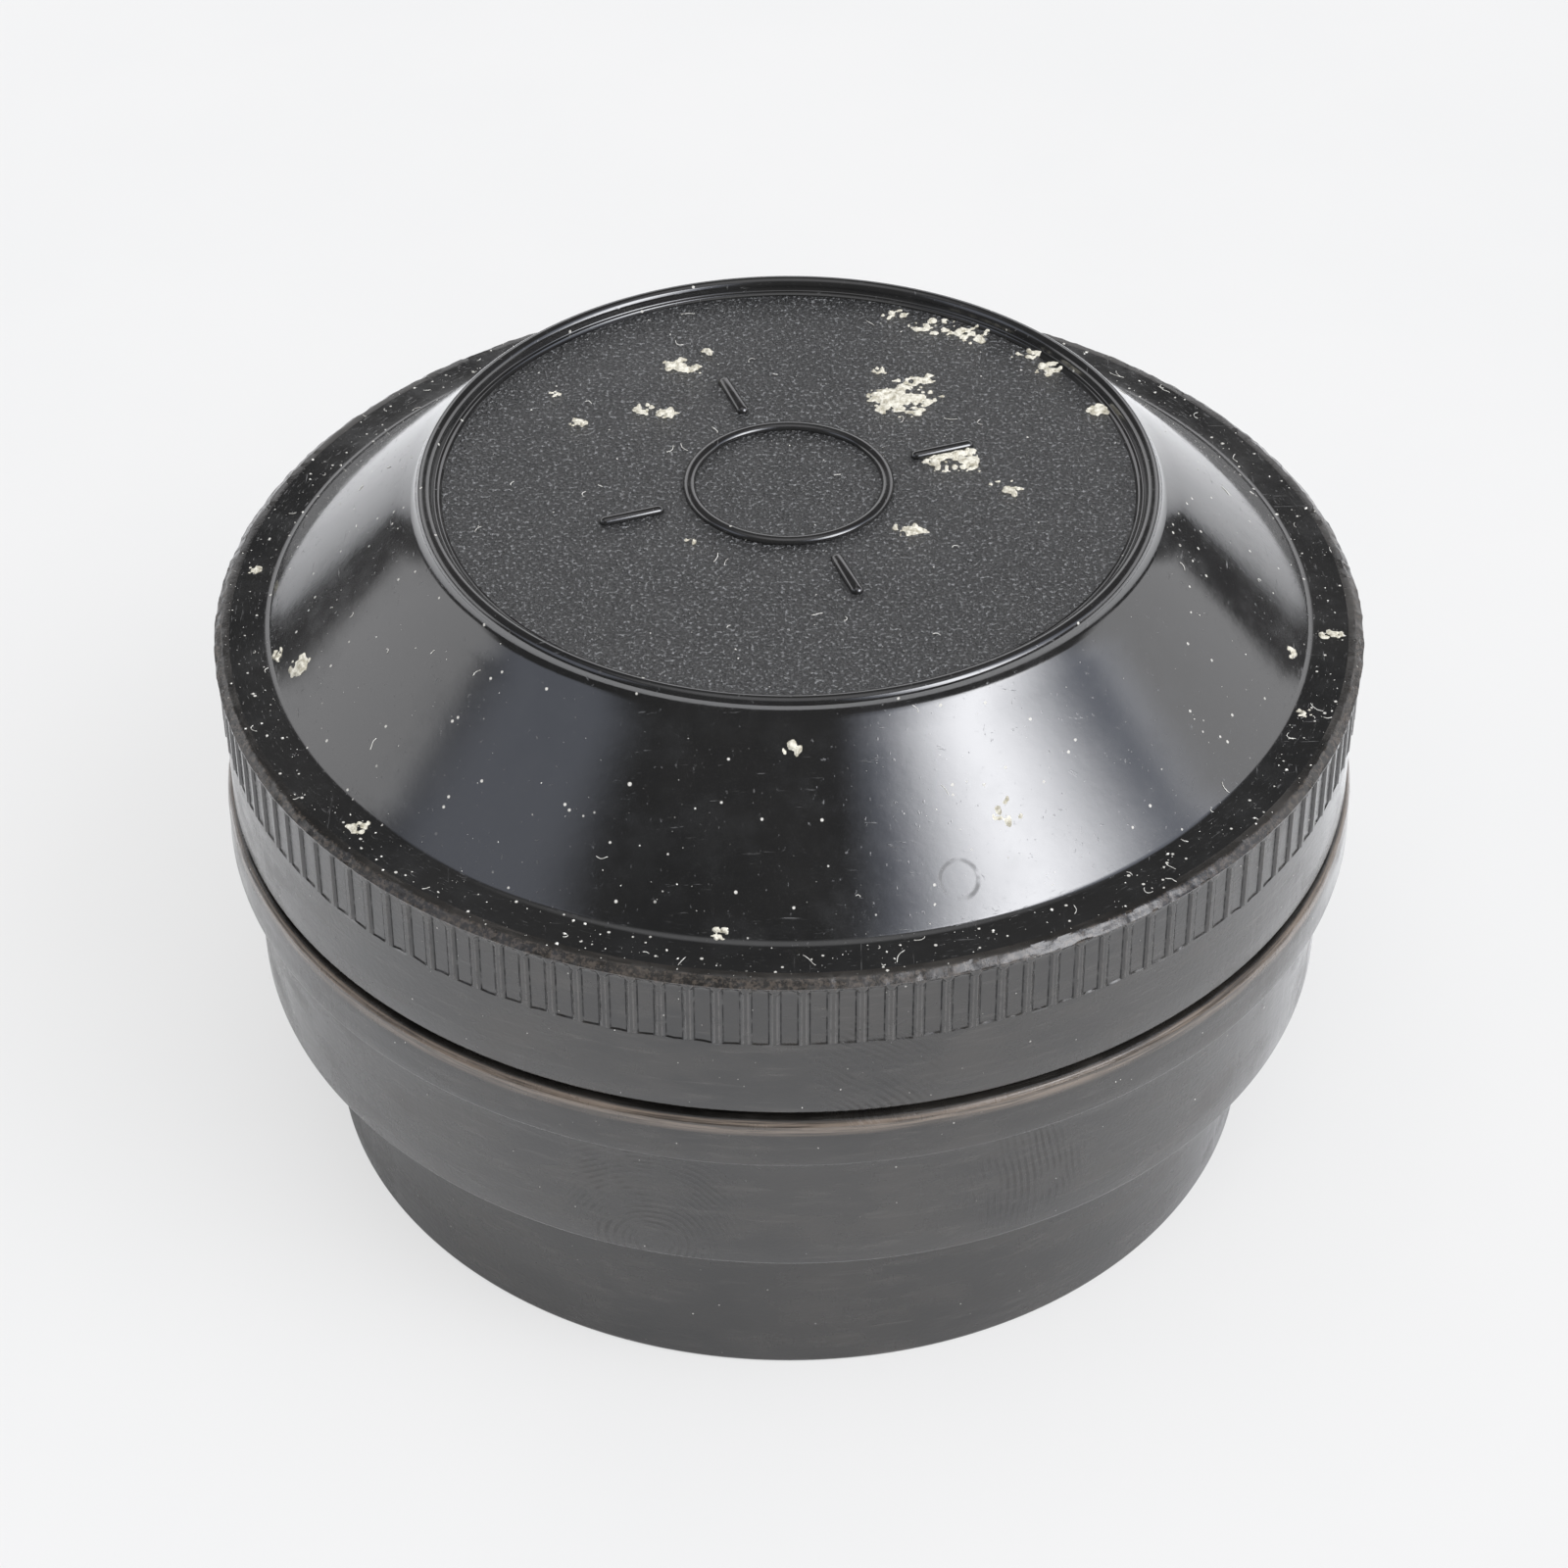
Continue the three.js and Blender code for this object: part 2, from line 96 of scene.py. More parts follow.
# Knurl on the lid's upper band.
RIB_COUNT = 136
RIB_TIP_R = COLLAR_R - 0.05
FLUTE_R = SKIRT_R - 0.02
FLUTE_HALF_WIDTH = 0.6
FLUTE_CORNER = 0.36
FLUTE_BOTTOM_Z = LID_Z + 5.55
FLUTE_TOP_Z = LID_Z + 9.86
FLANK = 0.11
COLLAR_Z = SHELF_Z - 0.5
RIB_TIP_EDGE = 0.13
RIB_FOOT = 0.35
RIB_SAMPLES = (0.0, RIB_TIP_EDGE, 0.2, 0.28, RIB_FOOT)
RIB_TIP_DROP = 0.1
RIB_PITCH = TURN * RIB_TIP_R / RIB_COUNT

# Base, outside.
FOOT_R = 30.9
FOOT_EDGE = 0.35
FOOT_TOP_Z = 13.1
BAND_BOTTOM_R = 35.1
BAND_TOP_R = 35.35
BAND_TOP_Z = 22.85
FLANGE_BOTTOM_R = base_high.x
FLANGE_TOP_R = FLANGE_BOTTOM_R - 0.1
FLANGE_TOP_Z = LID_Z - 0.5
FLANGE_EDGE = 0.5
NECK_R = 33.2
NECK_TOP_Z = base_high.z
NECK_EDGE = 0.4

# Base, inside.
MOUTH_R = 31.0
LEDGE_Z = spring_low.z - 0.3
WELL_R = 28.0
WELL_FLOOR_Z = pad_low.z - 0.3
WELL_EDGE = 0.6
BOSS_R = 2.3

# Thread, the same on the neck and in the skirt, half a lead apart.
THREAD_LEAD = 3.0
THREAD_TURNS = 1.25
THREAD_START_Z = LID_Z + 1.6
THREAD_HEIGHT = 0.85
THREAD_ROOT = 0.68
THREAD_CREST = 0.3
THREAD_FADE = 0.3
THREAD_STEP = 0.14

# Seat.
SCREW_CIRCLE_R = 28.4
SCREW_ANGLES = [(i + 0.5) * TURN / 4 for i in range(4)]
TAB_ANGLES = [TURN / 4 + i * TURN / 3 for i in range(3)]

COARSE = 2 * RIB_COUNT
FINE = 10 * RIB_COUNT


# ---- mesh tools ------------------------------------------------------------------------------


def smooth(t):
    t = np.clip(t, 0, 1)
    return t * t * (3 - 2 * t)


def noise(u, v, cells_u, cells_v, seed):
    """Smooth noise from -1 to 1 over the unit square, which repeats along u."""
    grid = np.random.default_rng(seed).uniform(-1, 1, (cells_v + 2, cells_u))
    x = (np.asarray(u, float) % 1) * cells_u
    y = np.clip(np.asarray(v, float), 0, 1) * cells_v
    i, j = np.floor(x).astype(int) % cells_u, np.floor(y).astype(int)
    fx, fy = smooth(x - np.floor(x)), smooth(y - j)
    right = (i + 1) % cells_u
    low = grid[j, i] * (1 - fx) + grid[j, right] * fx
    high = grid[j + 1, i] * (1 - fx) + grid[j + 1, right] * fx
    return low * (1 - fy) + high * fy


def ring_angles(count):
    """Angles of a ring's points. A fine ring has ten to each rib, close together at the flanks,
    and the ribs stand half a pitch off the front."""
    pitch = TURN / RIB_COUNT
    if count != FINE:
        return np.arange(count) * TURN / count + pitch / 2
    near = np.array(RIB_SAMPLES) / RIB_TIP_R
    one = np.concatenate([near, [pitch / 2], pitch - near[:0:-1]])
    return (np.arange(RIB_COUNT)[:, None] * pitch + one).ravel() + pitch / 2


def ring(r, z, count=COARSE):
    """A ring of points round Z. r and z are numbers, or one value for each point."""
    a = ring_angles(count)
    r, z = np.broadcast_to(r, a.shape), np.broadcast_to(z, a.shape)
    return np.stack([r * np.cos(a), r * np.sin(a), z], 1)


def rings_at(points, count=COARSE):
    return [ring(r, z, count) for r, z in points]


def pole(z):
    """A ring of one point on the axis."""
    return np.array([[0, 0, z]])


def polar(r, angle, z):
    return (r * math.cos(angle), r * math.sin(angle), z)


def arc(centre_r, centre_z, radius, start, end, steps):
    """Points of an arc in a profile, from one angle to another in degrees."""
    angles = np.radians(np.linspace(start, end, steps + 1))
    return [(centre_r + radius * math.cos(a), centre_z + radius * math.sin(a)) for a in angles]


def straight(start, end, steps):
    """Points between two profile points, without the two ends."""
    (r0, z0), (r1, z1) = start, end
    shares = [i / steps for i in range(1, steps)]
    return [(r0 + (r1 - r0) * t, z0 + (z1 - z0) * t) for t in shares]


def stitch(low, n_low, high, n_high):
    """Faces between two rings, given their first vertex numbers and counts. Counts may differ
    by a whole factor, and a ring of one point is the end of a dome."""
    if n_low == 1:
        return [(low, high + (k + 1) % n_high, high + k)[::-1] for k in range(n_high)]
    if n_high == 1:
        return [(low + k, low + (k + 1) % n_low, high) for k in range(n_low)]
    count = min(n_low, n_high)
    step_low, step_high = n_low // count, n_high // count
    faces = []
    for k in range(count):
        below = [low + (k * step_low + i) % n_low for i in range(step_low + 1)]
        above = [high + (k * step_high + i) % n_high for i in range(step_high + 1)]
        faces.append(tuple(below + above[::-1]))
    return faces


def swept_faces(stations, n):
    """Faces of a closed tube through stations of n points each."""
    faces = []
    for k in range(stations - 1):
        for i in range(n):
            j = (i + 1) % n
            faces.append((k * n + i, k * n + j, (k + 1) * n + j, (k + 1) * n + i))
    last = (stations - 1) * n
    return faces + [tuple(range(n))[::-1], tuple(range(last, last + n))]


def in_scene(name, data):
    obj = bpy.data.objects.new(name, data)
    bpy.context.scene.collection.objects.link(obj)
    return obj


def make_mesh(name, vertices, faces, sharp=40):
    """A smooth-shaded object from millimetre vertices, with edges sharper than sharp creased."""
    mesh = bpy.data.meshes.new(name)
    mesh.from_pydata((np.asarray(vertices) * MM).tolist(), [], faces)
    mesh.update()
    mesh.shade_smooth()
    mesh.set_sharp_from_angle(angle=math.radians(sharp))
    return in_scene(name, mesh)


def make_tube(name, vertices, faces, sharp=40):
    """An object whose faces are then turned to point outward."""
    obj = make_mesh(name, vertices, faces, sharp)
    work = bmesh.new()
    work.from_mesh(obj.data)
    bmesh.ops.recalc_face_normals(work, faces=work.faces)
    work.to_mesh(obj.data)
    work.free()
    return obj


def shifted(obj, place):
    """An object with its mesh moved sideways, by millimetres."""
    obj.data.transform(Matrix.Translation(Vector((*place, 0)) * MM))
    return obj


def turned(name, rings, slots=None, closed=False, sharp=40):
    """A solid of revolution through rings that run up the outside and down the inside.
    slots gives each ring's material slot, which the faces up to the next ring take."""
    starts = np.cumsum([0] + [len(r) for r in rings]).tolist()
    faces, face_slots = [], []
    for a in range(len(rings) if closed else len(rings) - 1):
        b = (a + 1) % len(rings)
        made = stitch(starts[a], len(rings[a]), starts[b], len(rings[b]))
        faces += made
        face_slots += [slots[a] if slots else 0] * len(made)
    obj = make_mesh(name, np.concatenate(rings), faces, sharp)
    obj.data.polygons.foreach_set("material_index", face_slots)
    return obj


def finished(obj, body, materials, replaces=()):
    """Gives a piece its materials and its place in the part."""
    for material in materials:
        obj.data.materials.append(material)
    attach(obj, body)
    if replaces:
        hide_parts(*replaces)
    return obj


def combined(obj, cutter, operation):
    """Applies an exact boolean with another object, which is then removed."""
    modifier = obj.modifiers.new("combined", "BOOLEAN")
    modifier.operation = operation
    modifier.object = cutter
    modifier.solver = "EXACT"
    bpy.context.view_layer.update()
    evaluated = obj.evaluated_get(bpy.context.evaluated_depsgraph_get())
    mesh = bpy.data.meshes.new_from_object(evaluated)
    obj.modifiers.clear()
    old, obj.data = obj.data, mesh
    bpy.data.meshes.remove(old)
    spent = cutter.data
    bpy.data.objects.remove(cutter)
    bpy.data.meshes.remove(spent)
    obj.data.shade_smooth()
    obj.data.set_sharp_from_angle(angle=math.radians(30))
    return obj


# ---- materials -------------------------------------------------------------------------------


class Nodes:
    """Short calls for the nodes of one tree."""

    def __init__(self, tree):
        self.tree = tree

    def feed(self, socket, value):
        """Links a socket to another, or sets its value."""
        if isinstance(value, bpy.types.NodeSocket):
            self.tree.links.new(value, socket)
        else:
            socket.default_value = value

    def node(self, kind, inputs=None, output=0, **settings):
        """Adds a node, feeds its inputs, and gives one of its outputs."""
        made = self.tree.nodes.new("ShaderNode" + kind)
        for key, value in settings.items():
            setattr(made, key, value)
        for key, value in (inputs or {}).items():
            self.feed(made.inputs[key], value)
        return made.outputs[output]

    def math(self, operation, a, b=0.0):
        return self.node("Math", {0: a, 1: b}, operation=operation)

    def times(self, value, *others):
        for other in others:
            value = self.math("MULTIPLY", value, other)
        return value

    def plus(self, a, b):
        return self.math("ADD", a, b)

    def most(self, a, b):
        return self.math("MAXIMUM", a, b)

    def gap(self, a, b):
        return self.math("ABSOLUTE", self.math("SUBTRACT", a, b))

    def apart(self, vector):
        return [self.node("SeparateXYZ", {0: vector}, axis) for axis in "XYZ"]

    def joined(self, x, y, z):
        return self.node("CombineXYZ", {0: x, 1: y, 2: z})

    def ramp(self, value, low, high, to_low=0.0, to_high=1.0):
        """value from low to high becomes to_low to to_high, clamped."""
        inputs = {"Value": value, "From Min": low, "From Max": high}
        inputs |= {"To Min": to_low, "To Max": to_high}
        return self.node("MapRange", inputs, "Result", interpolation_type="SMOOTHSTEP")


class Shader(Nodes):
    """A material of one Principled shader and the nodes that feed it."""

    def __init__(self, name, **constants):
        self.material = bpy.data.materials.new(name)
        self.material.use_nodes = True
        super().__init__(self.material.node_tree)
        self.principled = self.tree.nodes["Principled BSDF"]
        self.finish(**constants)
        self.place = self.node("TexCoord", output="Object")

    def find_axis(self):
        """Works out the radius from the axis, the angle round it and the height, in metres."""
        x, y, self.height = self.apart(self.place)
        self.radius = self.math("SQRT", self.plus(self.times(x, x), self.times(y, y)))
        self.around = self.math("ARCTAN2", y, x)

    def scaled(self, x, y, z):
        """The object coordinates multiplied along each axis."""
        return self.node("Mapping", {"Vector": self.place, "Scale": (x, y, z)})

    def noise(self, scale, detail=2.0, roughness=0.5, vector=None):
        inputs = {"Vector": vector or self.place, "Scale": scale}
        return self.node("TexNoise", inputs | {"Detail": detail, "Roughness": roughness}, "Fac")

    def cells(self, scale, output="Distance"):
        return self.node("TexVoronoi", {"Vector": self.place, "Scale": scale}, output)

    def mix(self, share, a, b):
        """Two colours mixed. The Mix node's colour sockets are 6 and 7, and 2 on its way out."""
        return self.node("Mix", {0: share, 6: a, 7: b}, 2, data_type="RGBA")

    def coats(self, colour, *coats):
        """A colour under others, each given with its mask and how much it covers."""
        for mask, share, over in coats:
            colour = self.mix(self.times(mask, share), colour, over)
        return colour

    def raised(self, value, *amounts):
        """A value with a share of each mask added."""
        for mask, share in amounts:
            value = self.plus(value, self.times(mask, share))
        return value

    def distance_to(self, point_mm):
        inputs = {0: self.place, 1: Vector(point_mm) * MM}
        return self.node("VectorMath", inputs, "Value", operation="DISTANCE")

    def bump(self, height, distance, strength=1.0, under=None):
        inputs = {"Height": height, "Distance": distance, "Strength": strength}
        if under:
            inputs["Normal"] = under
        return self.node("Bump", inputs, "Normal")

    def finish(self, **sockets):
        for name, value in sockets.items():
            self.feed(self.principled.inputs[name.replace("_", " ")], value)
        return self.material


def grey(value, warmth=0.0):
    return (value * (1 + warmth), value, value * (1 - warmth), 1.0)


DUST_GREY = (0.42, 0.41, 0.38, 1.0)
WORN_BROWN = (0.125, 0.1, 0.08, 1.0)


def fine_dust(s, scale, share, largest):
    """A mask of fine specks: a share of the cells of a pattern each hold one speck."""
    pick = s.ramp(s.cells(scale, "Color"), 1 - share, 1 - share + 0.01)
    return s.times(pick, s.ramp(s.cells(scale), largest, largest * 0.6))


def polished_resin():
    s = Shader("polished_resin", IOR=1.6, Specular_IOR_Level=1.0)
    s.find_axis()
    smear = s.noise(70, 5, 0.6)
    haze = s.ramp(s.noise(300, 6, 0.7), 0.42, 0.72)
    scratches = s.most(hairlines(s, 2600, 2600, 150), hairlines(s, 260, 3300, 2600))
    scratches = s.most(scratches, hairlines(s, 3300, 210, 2300))
    on_shelf = s.ramp(s.height, (SHELF_Z + 0.9) * MM, (SHELF_Z + 0.1) * MM)
    circles = s.ramp(round_noise(s, 9000, 40), 0.6, 0.75)
    scratches = s.most(scratches, s.times(circles, on_shelf, 0.85))
    dust = s.most(fine_dust(s, 2600, 0.12, 0.32), fine_dust(s, 1300, 0.04, 0.2))
    dust = s.most(dust, s.times(fine_dust(s, 3000, 0.1, 0.3), on_shelf))
    stain = s.ramp(s.gap(s.distance_to(RING_STAIN), RING_STAIN_R * MM), 0.00025, 0.00003)
    stain = s.times(stain, s.ramp(s.noise(700, 3), 0.35, 0.6))
    rough = s.raised(
        s.ramp(smear, 0.3, 0.7, 0.07, 0.14),
        (haze, 0.07),
        (scratches, 0.26),
        (stain, 0.34),
        (dust, 0.6),
    )
    tone = s.coats(
        s.mix(s.ramp(smear, 0.35, 0.65), grey(0.0032), grey(0.0065, 0.04)),
        (haze, 0.4, grey(0.014, -0.03)),
        (scratches, 0.5, grey(0.1)),
        (stain, 0.4, grey(0.05)),
    )
    orange_peel = s.noise(1500, 3, 0.6)
    relief = s.bump(s.noise(160, 2), 0.00002, 0.5)
    relief = s.bump(orange_peel, 0.000004, 0.8, relief)
    relief = s.bump(scratches, 0.000006, 0.6, relief)
    return s.finish(Base_Color=s.mix(dust, tone, DUST_GREY), Roughness=rough, Normal=relief)


def hairlines(s, x, y, z):
    """Sparse long scratches that run along the axis with the smallest scale."""
    return s.ramp(s.noise(1.0, 3, 0.7, s.scaled(x, y, z)), 0.66, 0.76)


def round_noise(s, fine, along):
    """Noise drawn out into streaks that run round the axis."""
    place = s.joined(s.times(s.radius, fine), s.times(s.around, along), s.times(s.height, fine))
    return s.noise(1.0, 4, 0.65, place)


def satin_resin():
    s = Shader("satin_resin", IOR=1.6, Specular_IOR_Level=0.5)
    s.find_axis()
    grain = s.noise(3300, 4, 0.65)
    patch = s.noise(75, 5, 0.65)
    smudge = s.ramp(s.noise(1.0, 4, 0.6, s.scaled(160, 160, 420)), 0.42, 0.68)
    streaks = s.ramp(round_noise(s, 2600, 9), 0.5, 0.72)
    drips = s.ramp(round_noise(s, 60, 55), 0.5, 0.75)
    specks = s.most(fine_dust(s, 1500, 0.05, 0.17), fine_dust(s, 3600, 0.06, 0.27))
    # Painted shade in the creases at the rib feet, and a painted highlight along the rib tip edges.
    painted_crease_shade, painted_edge_highlight = knurl_painted_shade_and_highlight(s)
    print_marks = fingerprints(s)
    tone = s.coats(
        s.mix(s.ramp(patch, 0.3, 0.7), grey(0.006, 0.04), grey(0.016, 0.1)),
        (streaks, 0.4, grey(0.045, 0.08)),
        (smudge, 0.35, grey(0.032, 0.12)),
        (worn_edges(s), 1.0, WORN_BROWN),
        # Painted highlight on the rib tip edges, then painted shade at the rib feet.
        (painted_edge_highlight, 0.6, grey(0.06, 0.06)),
        (painted_crease_shade, 1.0, grey(0.002)),
        (specks, 0.75, DUST_GREY),
    )
    rough = s.raised(
        s.ramp(patch, 0.3, 0.7, 0.15, 0.28),
        (smudge, 0.12),
        (drips, -0.07),
        (print_marks, 0.26),
        (painted_crease_shade, 0.5),
        (specks, 0.4),
    )
    relief = s.bump(grain, 0.000022, 0.8)
    relief = s.bump(streaks, 0.000008, 0.6, relief)
    relief = s.bump(print_marks, 0.00001, 0.7, relief)
    return s.finish(Base_Color=tone, Roughness=rough, Normal=relief)


def knurl_painted_shade_and_highlight(s):
    """Painted shade in the creases along the feet of the ribs, and a painted highlight along the
    edges of their tips.
    """
    share = s.math("FRACT", s.plus(s.times(s.around, RIB_COUNT / TURN), RIB_COUNT))
    across = s.times(s.gap(share, 0.5), RIB_PITCH)
    # Painted shade along the rib feet, and a painted highlight along the rib tip edges.
    foot = s.ramp(s.gap(across, RIB_FOOT), 0.075, 0.02)
    edge = s.ramp(s.gap(across, RIB_TIP_EDGE), 0.07, 0.02)
    above = s.ramp(s.height, FLUTE_BOTTOM_Z * MM, (FLUTE_BOTTOM_Z + 0.1) * MM)
    below = s.ramp(s.height, (FLUTE_TOP_Z - 0.15) * MM, (FLUTE_TOP_Z - 0.3) * MM)
    band = s.times(above, below, s.ramp(s.radius, 0.0355, 0.036))
    broken = s.ramp(s.noise(1700, 3, 0.7), 0.3, 0.55)
    return [s.times(mask, band, broken) for mask in (foot, edge)]


def worn_edges(s):
    """Where handling has worn the resin brown: the flange's top edge, in streaks round it, and
    the lid's bevel, in pits."""
    streaks = s.ramp(round_noise(s, 5200, 5), 0.38, 0.6)
    low = s.ramp(s.height, (FLANGE_TOP_Z - 1.05) * MM, (FLANGE_TOP_Z - 0.55) * MM)
    high = s.ramp(s.height, (FLANGE_TOP_Z + 0.1) * MM, FLANGE_TOP_Z * MM)
    out = s.ramp(s.radius, (FLANGE_TOP_R - 0.34) * MM, (FLANGE_TOP_R - 0.2) * MM)
    flange = s.times(low, high, out, s.plus(s.times(streaks, 0.75), 0.25))
    pits = s.ramp(s.noise(3200, 4, 0.75), 0.45, 0.62)
    bevel_low = s.ramp(s.height, (COLLAR_Z - 0.25) * MM, COLLAR_Z * MM)
    bevel_in = s.ramp(s.radius, (SHELF_R - 0.1) * MM, (SHELF_R + 0.02) * MM)
    return s.most(flange, s.times(bevel_low, bevel_in, pits, 0.32))


def fingerprints(s):
    """The ridges of a print, in the places on the bands where prints lie."""
    wobble = s.times(s.noise(120, 2), 0.0022)
    phase = s.times(s.plus(s.distance_to(PRINT_WHORL), wobble), TURN / PRINT_RIDGE_PITCH)
    ridges = s.ramp(s.math("SINE", phase), -0.3, 0.5)
    mask = 0.0
    for place, reach in PRINTS:
        mask = s.most(mask, s.ramp(s.distance_to(place), reach * MM, reach * 0.55 * MM))
    return s.times(ridges, mask, s.ramp(s.noise(420, 3, 0.7), 0.35, 0.6))


def panel_resin():
    s = Shader("panel_resin", IOR=1.6, Specular_IOR_Level=0.8)
    worms = s.noise(4000, 3, 0.65)
    coarse = s.noise(650, 3, 0.5)
    dips = s.ramp(s.cells(4300), 0.3, 0.7)
    tone = s.coats(
        s.mix(s.ramp(coarse, 0.3, 0.7), grey(0.006), grey(0.015)),
        (dips, 0.6, grey(0.002)),
        # Painted highlight: pale grey on the crests of the worm-like grain.
        (s.ramp(worms, 0.55, 0.64), 0.85, grey(0.2, -0.02)),
        (fine_dust(s, 1100, 0.05, 0.12), 0.8, DUST_GREY),
    )
    relief = s.bump(coarse, 0.0001, 0.5)
    relief = s.bump(worms, 0.0003, 1.0, relief)
    relief = s.bump(dips, 0.00006, 0.8, relief)
    rough = s.ramp(worms, 0.3, 0.7, 0.42, 0.26)
    return s.finish(Base_Color=tone, Roughness=rough, Normal=relief)


def felt_material():
    s = Shader("green_felt", Sheen_Weight=0.5, Sheen_Roughness=0.5)
    fibres = s.noise(1.0, 5, 0.7, s.scaled(2600, 900, 1500))
    crossing = s.noise(1.0, 5, 0.7, s.scaled(800, 2700, 1500))
    tangle = s.most(fibres, crossing)
    clumps = s.noise(260, 3, 0.6)
    mixed = s.ramp(s.plus(s.times(tangle, 0.6), s.times(clumps, 0.4)), 0.35, 0.7)
    colour = s.mix(mixed, (0.012, 0.03, 0.02, 1), (0.035, 0.075, 0.05, 1))
    rough = s.ramp(clumps, 0.3, 0.7, 0.88, 1.0)
    return s.finish(Base_Color=colour, Roughness=rough, Normal=s.bump(tangle, 0.0003, 0.9))


def card_material():
    s = Shader("card", Specular_IOR_Level=0.3)
    pulp = s.noise(1.0, 5, 0.7, s.scaled(1300, 500, 900))
    flecks = s.ramp(s.cells(1500), 0.2, 0.1)
    colour = s.mix(s.ramp(pulp, 0.3, 0.7), (0.16, 0.125, 0.085, 1), (0.25, 0.21, 0.15, 1))
    colour = s.coats(colour, (flecks, 0.35, (0.07, 0.06, 0.05, 1)))
    rough = s.ramp(pulp, 0.3, 0.7, 0.8, 0.95)
    return s.finish(Base_Color=colour, Roughness=rough, Normal=s.bump(pulp, 0.0001, 0.6))


def metal(name, dark, light, low, high, turned_marks=False):
    """A metal with tool marks that run round the axis, or grain along X, and light tarnish."""
    s = Shader(name, Metallic=1.0)
    if turned_marks:
        s.find_axis()
        marks = s.noise(6000, 3, 0.7, s.joined(s.radius, 0.0, s.height))
    else:
        marks = s.noise(1.0, 3, 0.7, s.scaled(500, 9000, 9000))
    tarnish = s.noise(330, 4, 0.6)
    colour = s.mix(s.ramp(tarnish, 0.35, 0.7), grey(light), grey(dark))
    rough = s.raised(s.ramp(tarnish, 0.3, 0.7, low, high), (marks, 0.08))
    return s.finish(Base_Color=colour, Roughness=rough, Normal=s.bump(marks, 0.00001, 0.5))


def crust_material():
    s = Shader("residue", Specular_IOR_Level=0.2)
    flakes = s.noise(2400, 4, 0.7)
    colour = s.mix(s.ramp(flakes, 0.35, 0.62), (0.3, 0.28, 0.22, 1), (0.6, 0.58, 0.51, 1))
    rough = s.ramp(flakes, 0.3, 0.7, 0.8, 0.95)
    return s.finish(Base_Color=colour, Roughness=rough, Normal=s.bump(flakes, 0.00015, 0.8))


def lint_material():
    s = Shader("lint", Specular_IOR_Level=0.2)
    strands = s.noise(1800, 2)
    colour = s.mix(s.ramp(strands, 0.4, 0.6), (0.45, 0.44, 0.41, 1), (0.75, 0.74, 0.7, 1))
    return s.finish(Base_Color=colour, Roughness=s.ramp(strands, 0.3, 0.7, 0.75, 0.95))


# ---- where marks of use lie ------------------------------------------------------------------


def on_wall(angle, r, z):
    """A point at an angle in degrees to the right of the front."""
    return polar(r, math.radians(angle - 90), z)


def on_cone(angle, share):
    """A point on the cone, at a share of the way from its foot to its top."""
    r = CONE_FOOT_R + (CONE_TOP_R - CONE_FOOT_R) * share
    return on_wall(angle, r, SHELF_Z + (CONE_TOP_Z - SHELF_Z) * share)


def cone_normal(angle):
    return on_wall(angle, CONE_NORMAL_OUT, CONE_NORMAL_UP)


RING_STAIN = on_cone(18.5, 0.2)
RING_STAIN_R = 1.15
PRINT_WHORL = on_wall(-14, BAND_TOP_R, 14.0)
PRINT_RIDGE_PITCH = 0.00043
PRINTS = [
    (on_wall(-14, BAND_TOP_R, 17.5), 7.0),
    (on_wall(24, BAND_TOP_R, 18.0), 5.0),
    (on_wall(8, SKIRT_R, LID_Z + 3.0), 5.0),
]


# ---- lid -------------------------------------------------------------------------------------


def thread_ridge(z, start_z):
    """Height of the thread ridge at each angle of a ring at height z."""
    angles = ring_angles(COARSE)
    height = np.zeros(len(angles))
    for turn in range(3):
        along = angles + turn * TURN
        inside = np.minimum(along, THREAD_TURNS * TURN - along)
        fade = np.clip(inside / THREAD_FADE, 0, 1)
        away = np.abs(z - start_z - THREAD_LEAD * along / TURN)
        flank = np.clip((THREAD_ROOT - away) / (THREAD_ROOT - THREAD_CREST), 0, 1)
        height = np.maximum(height, THREAD_HEIGHT * smooth(flank) * np.sqrt(fade))
    return height


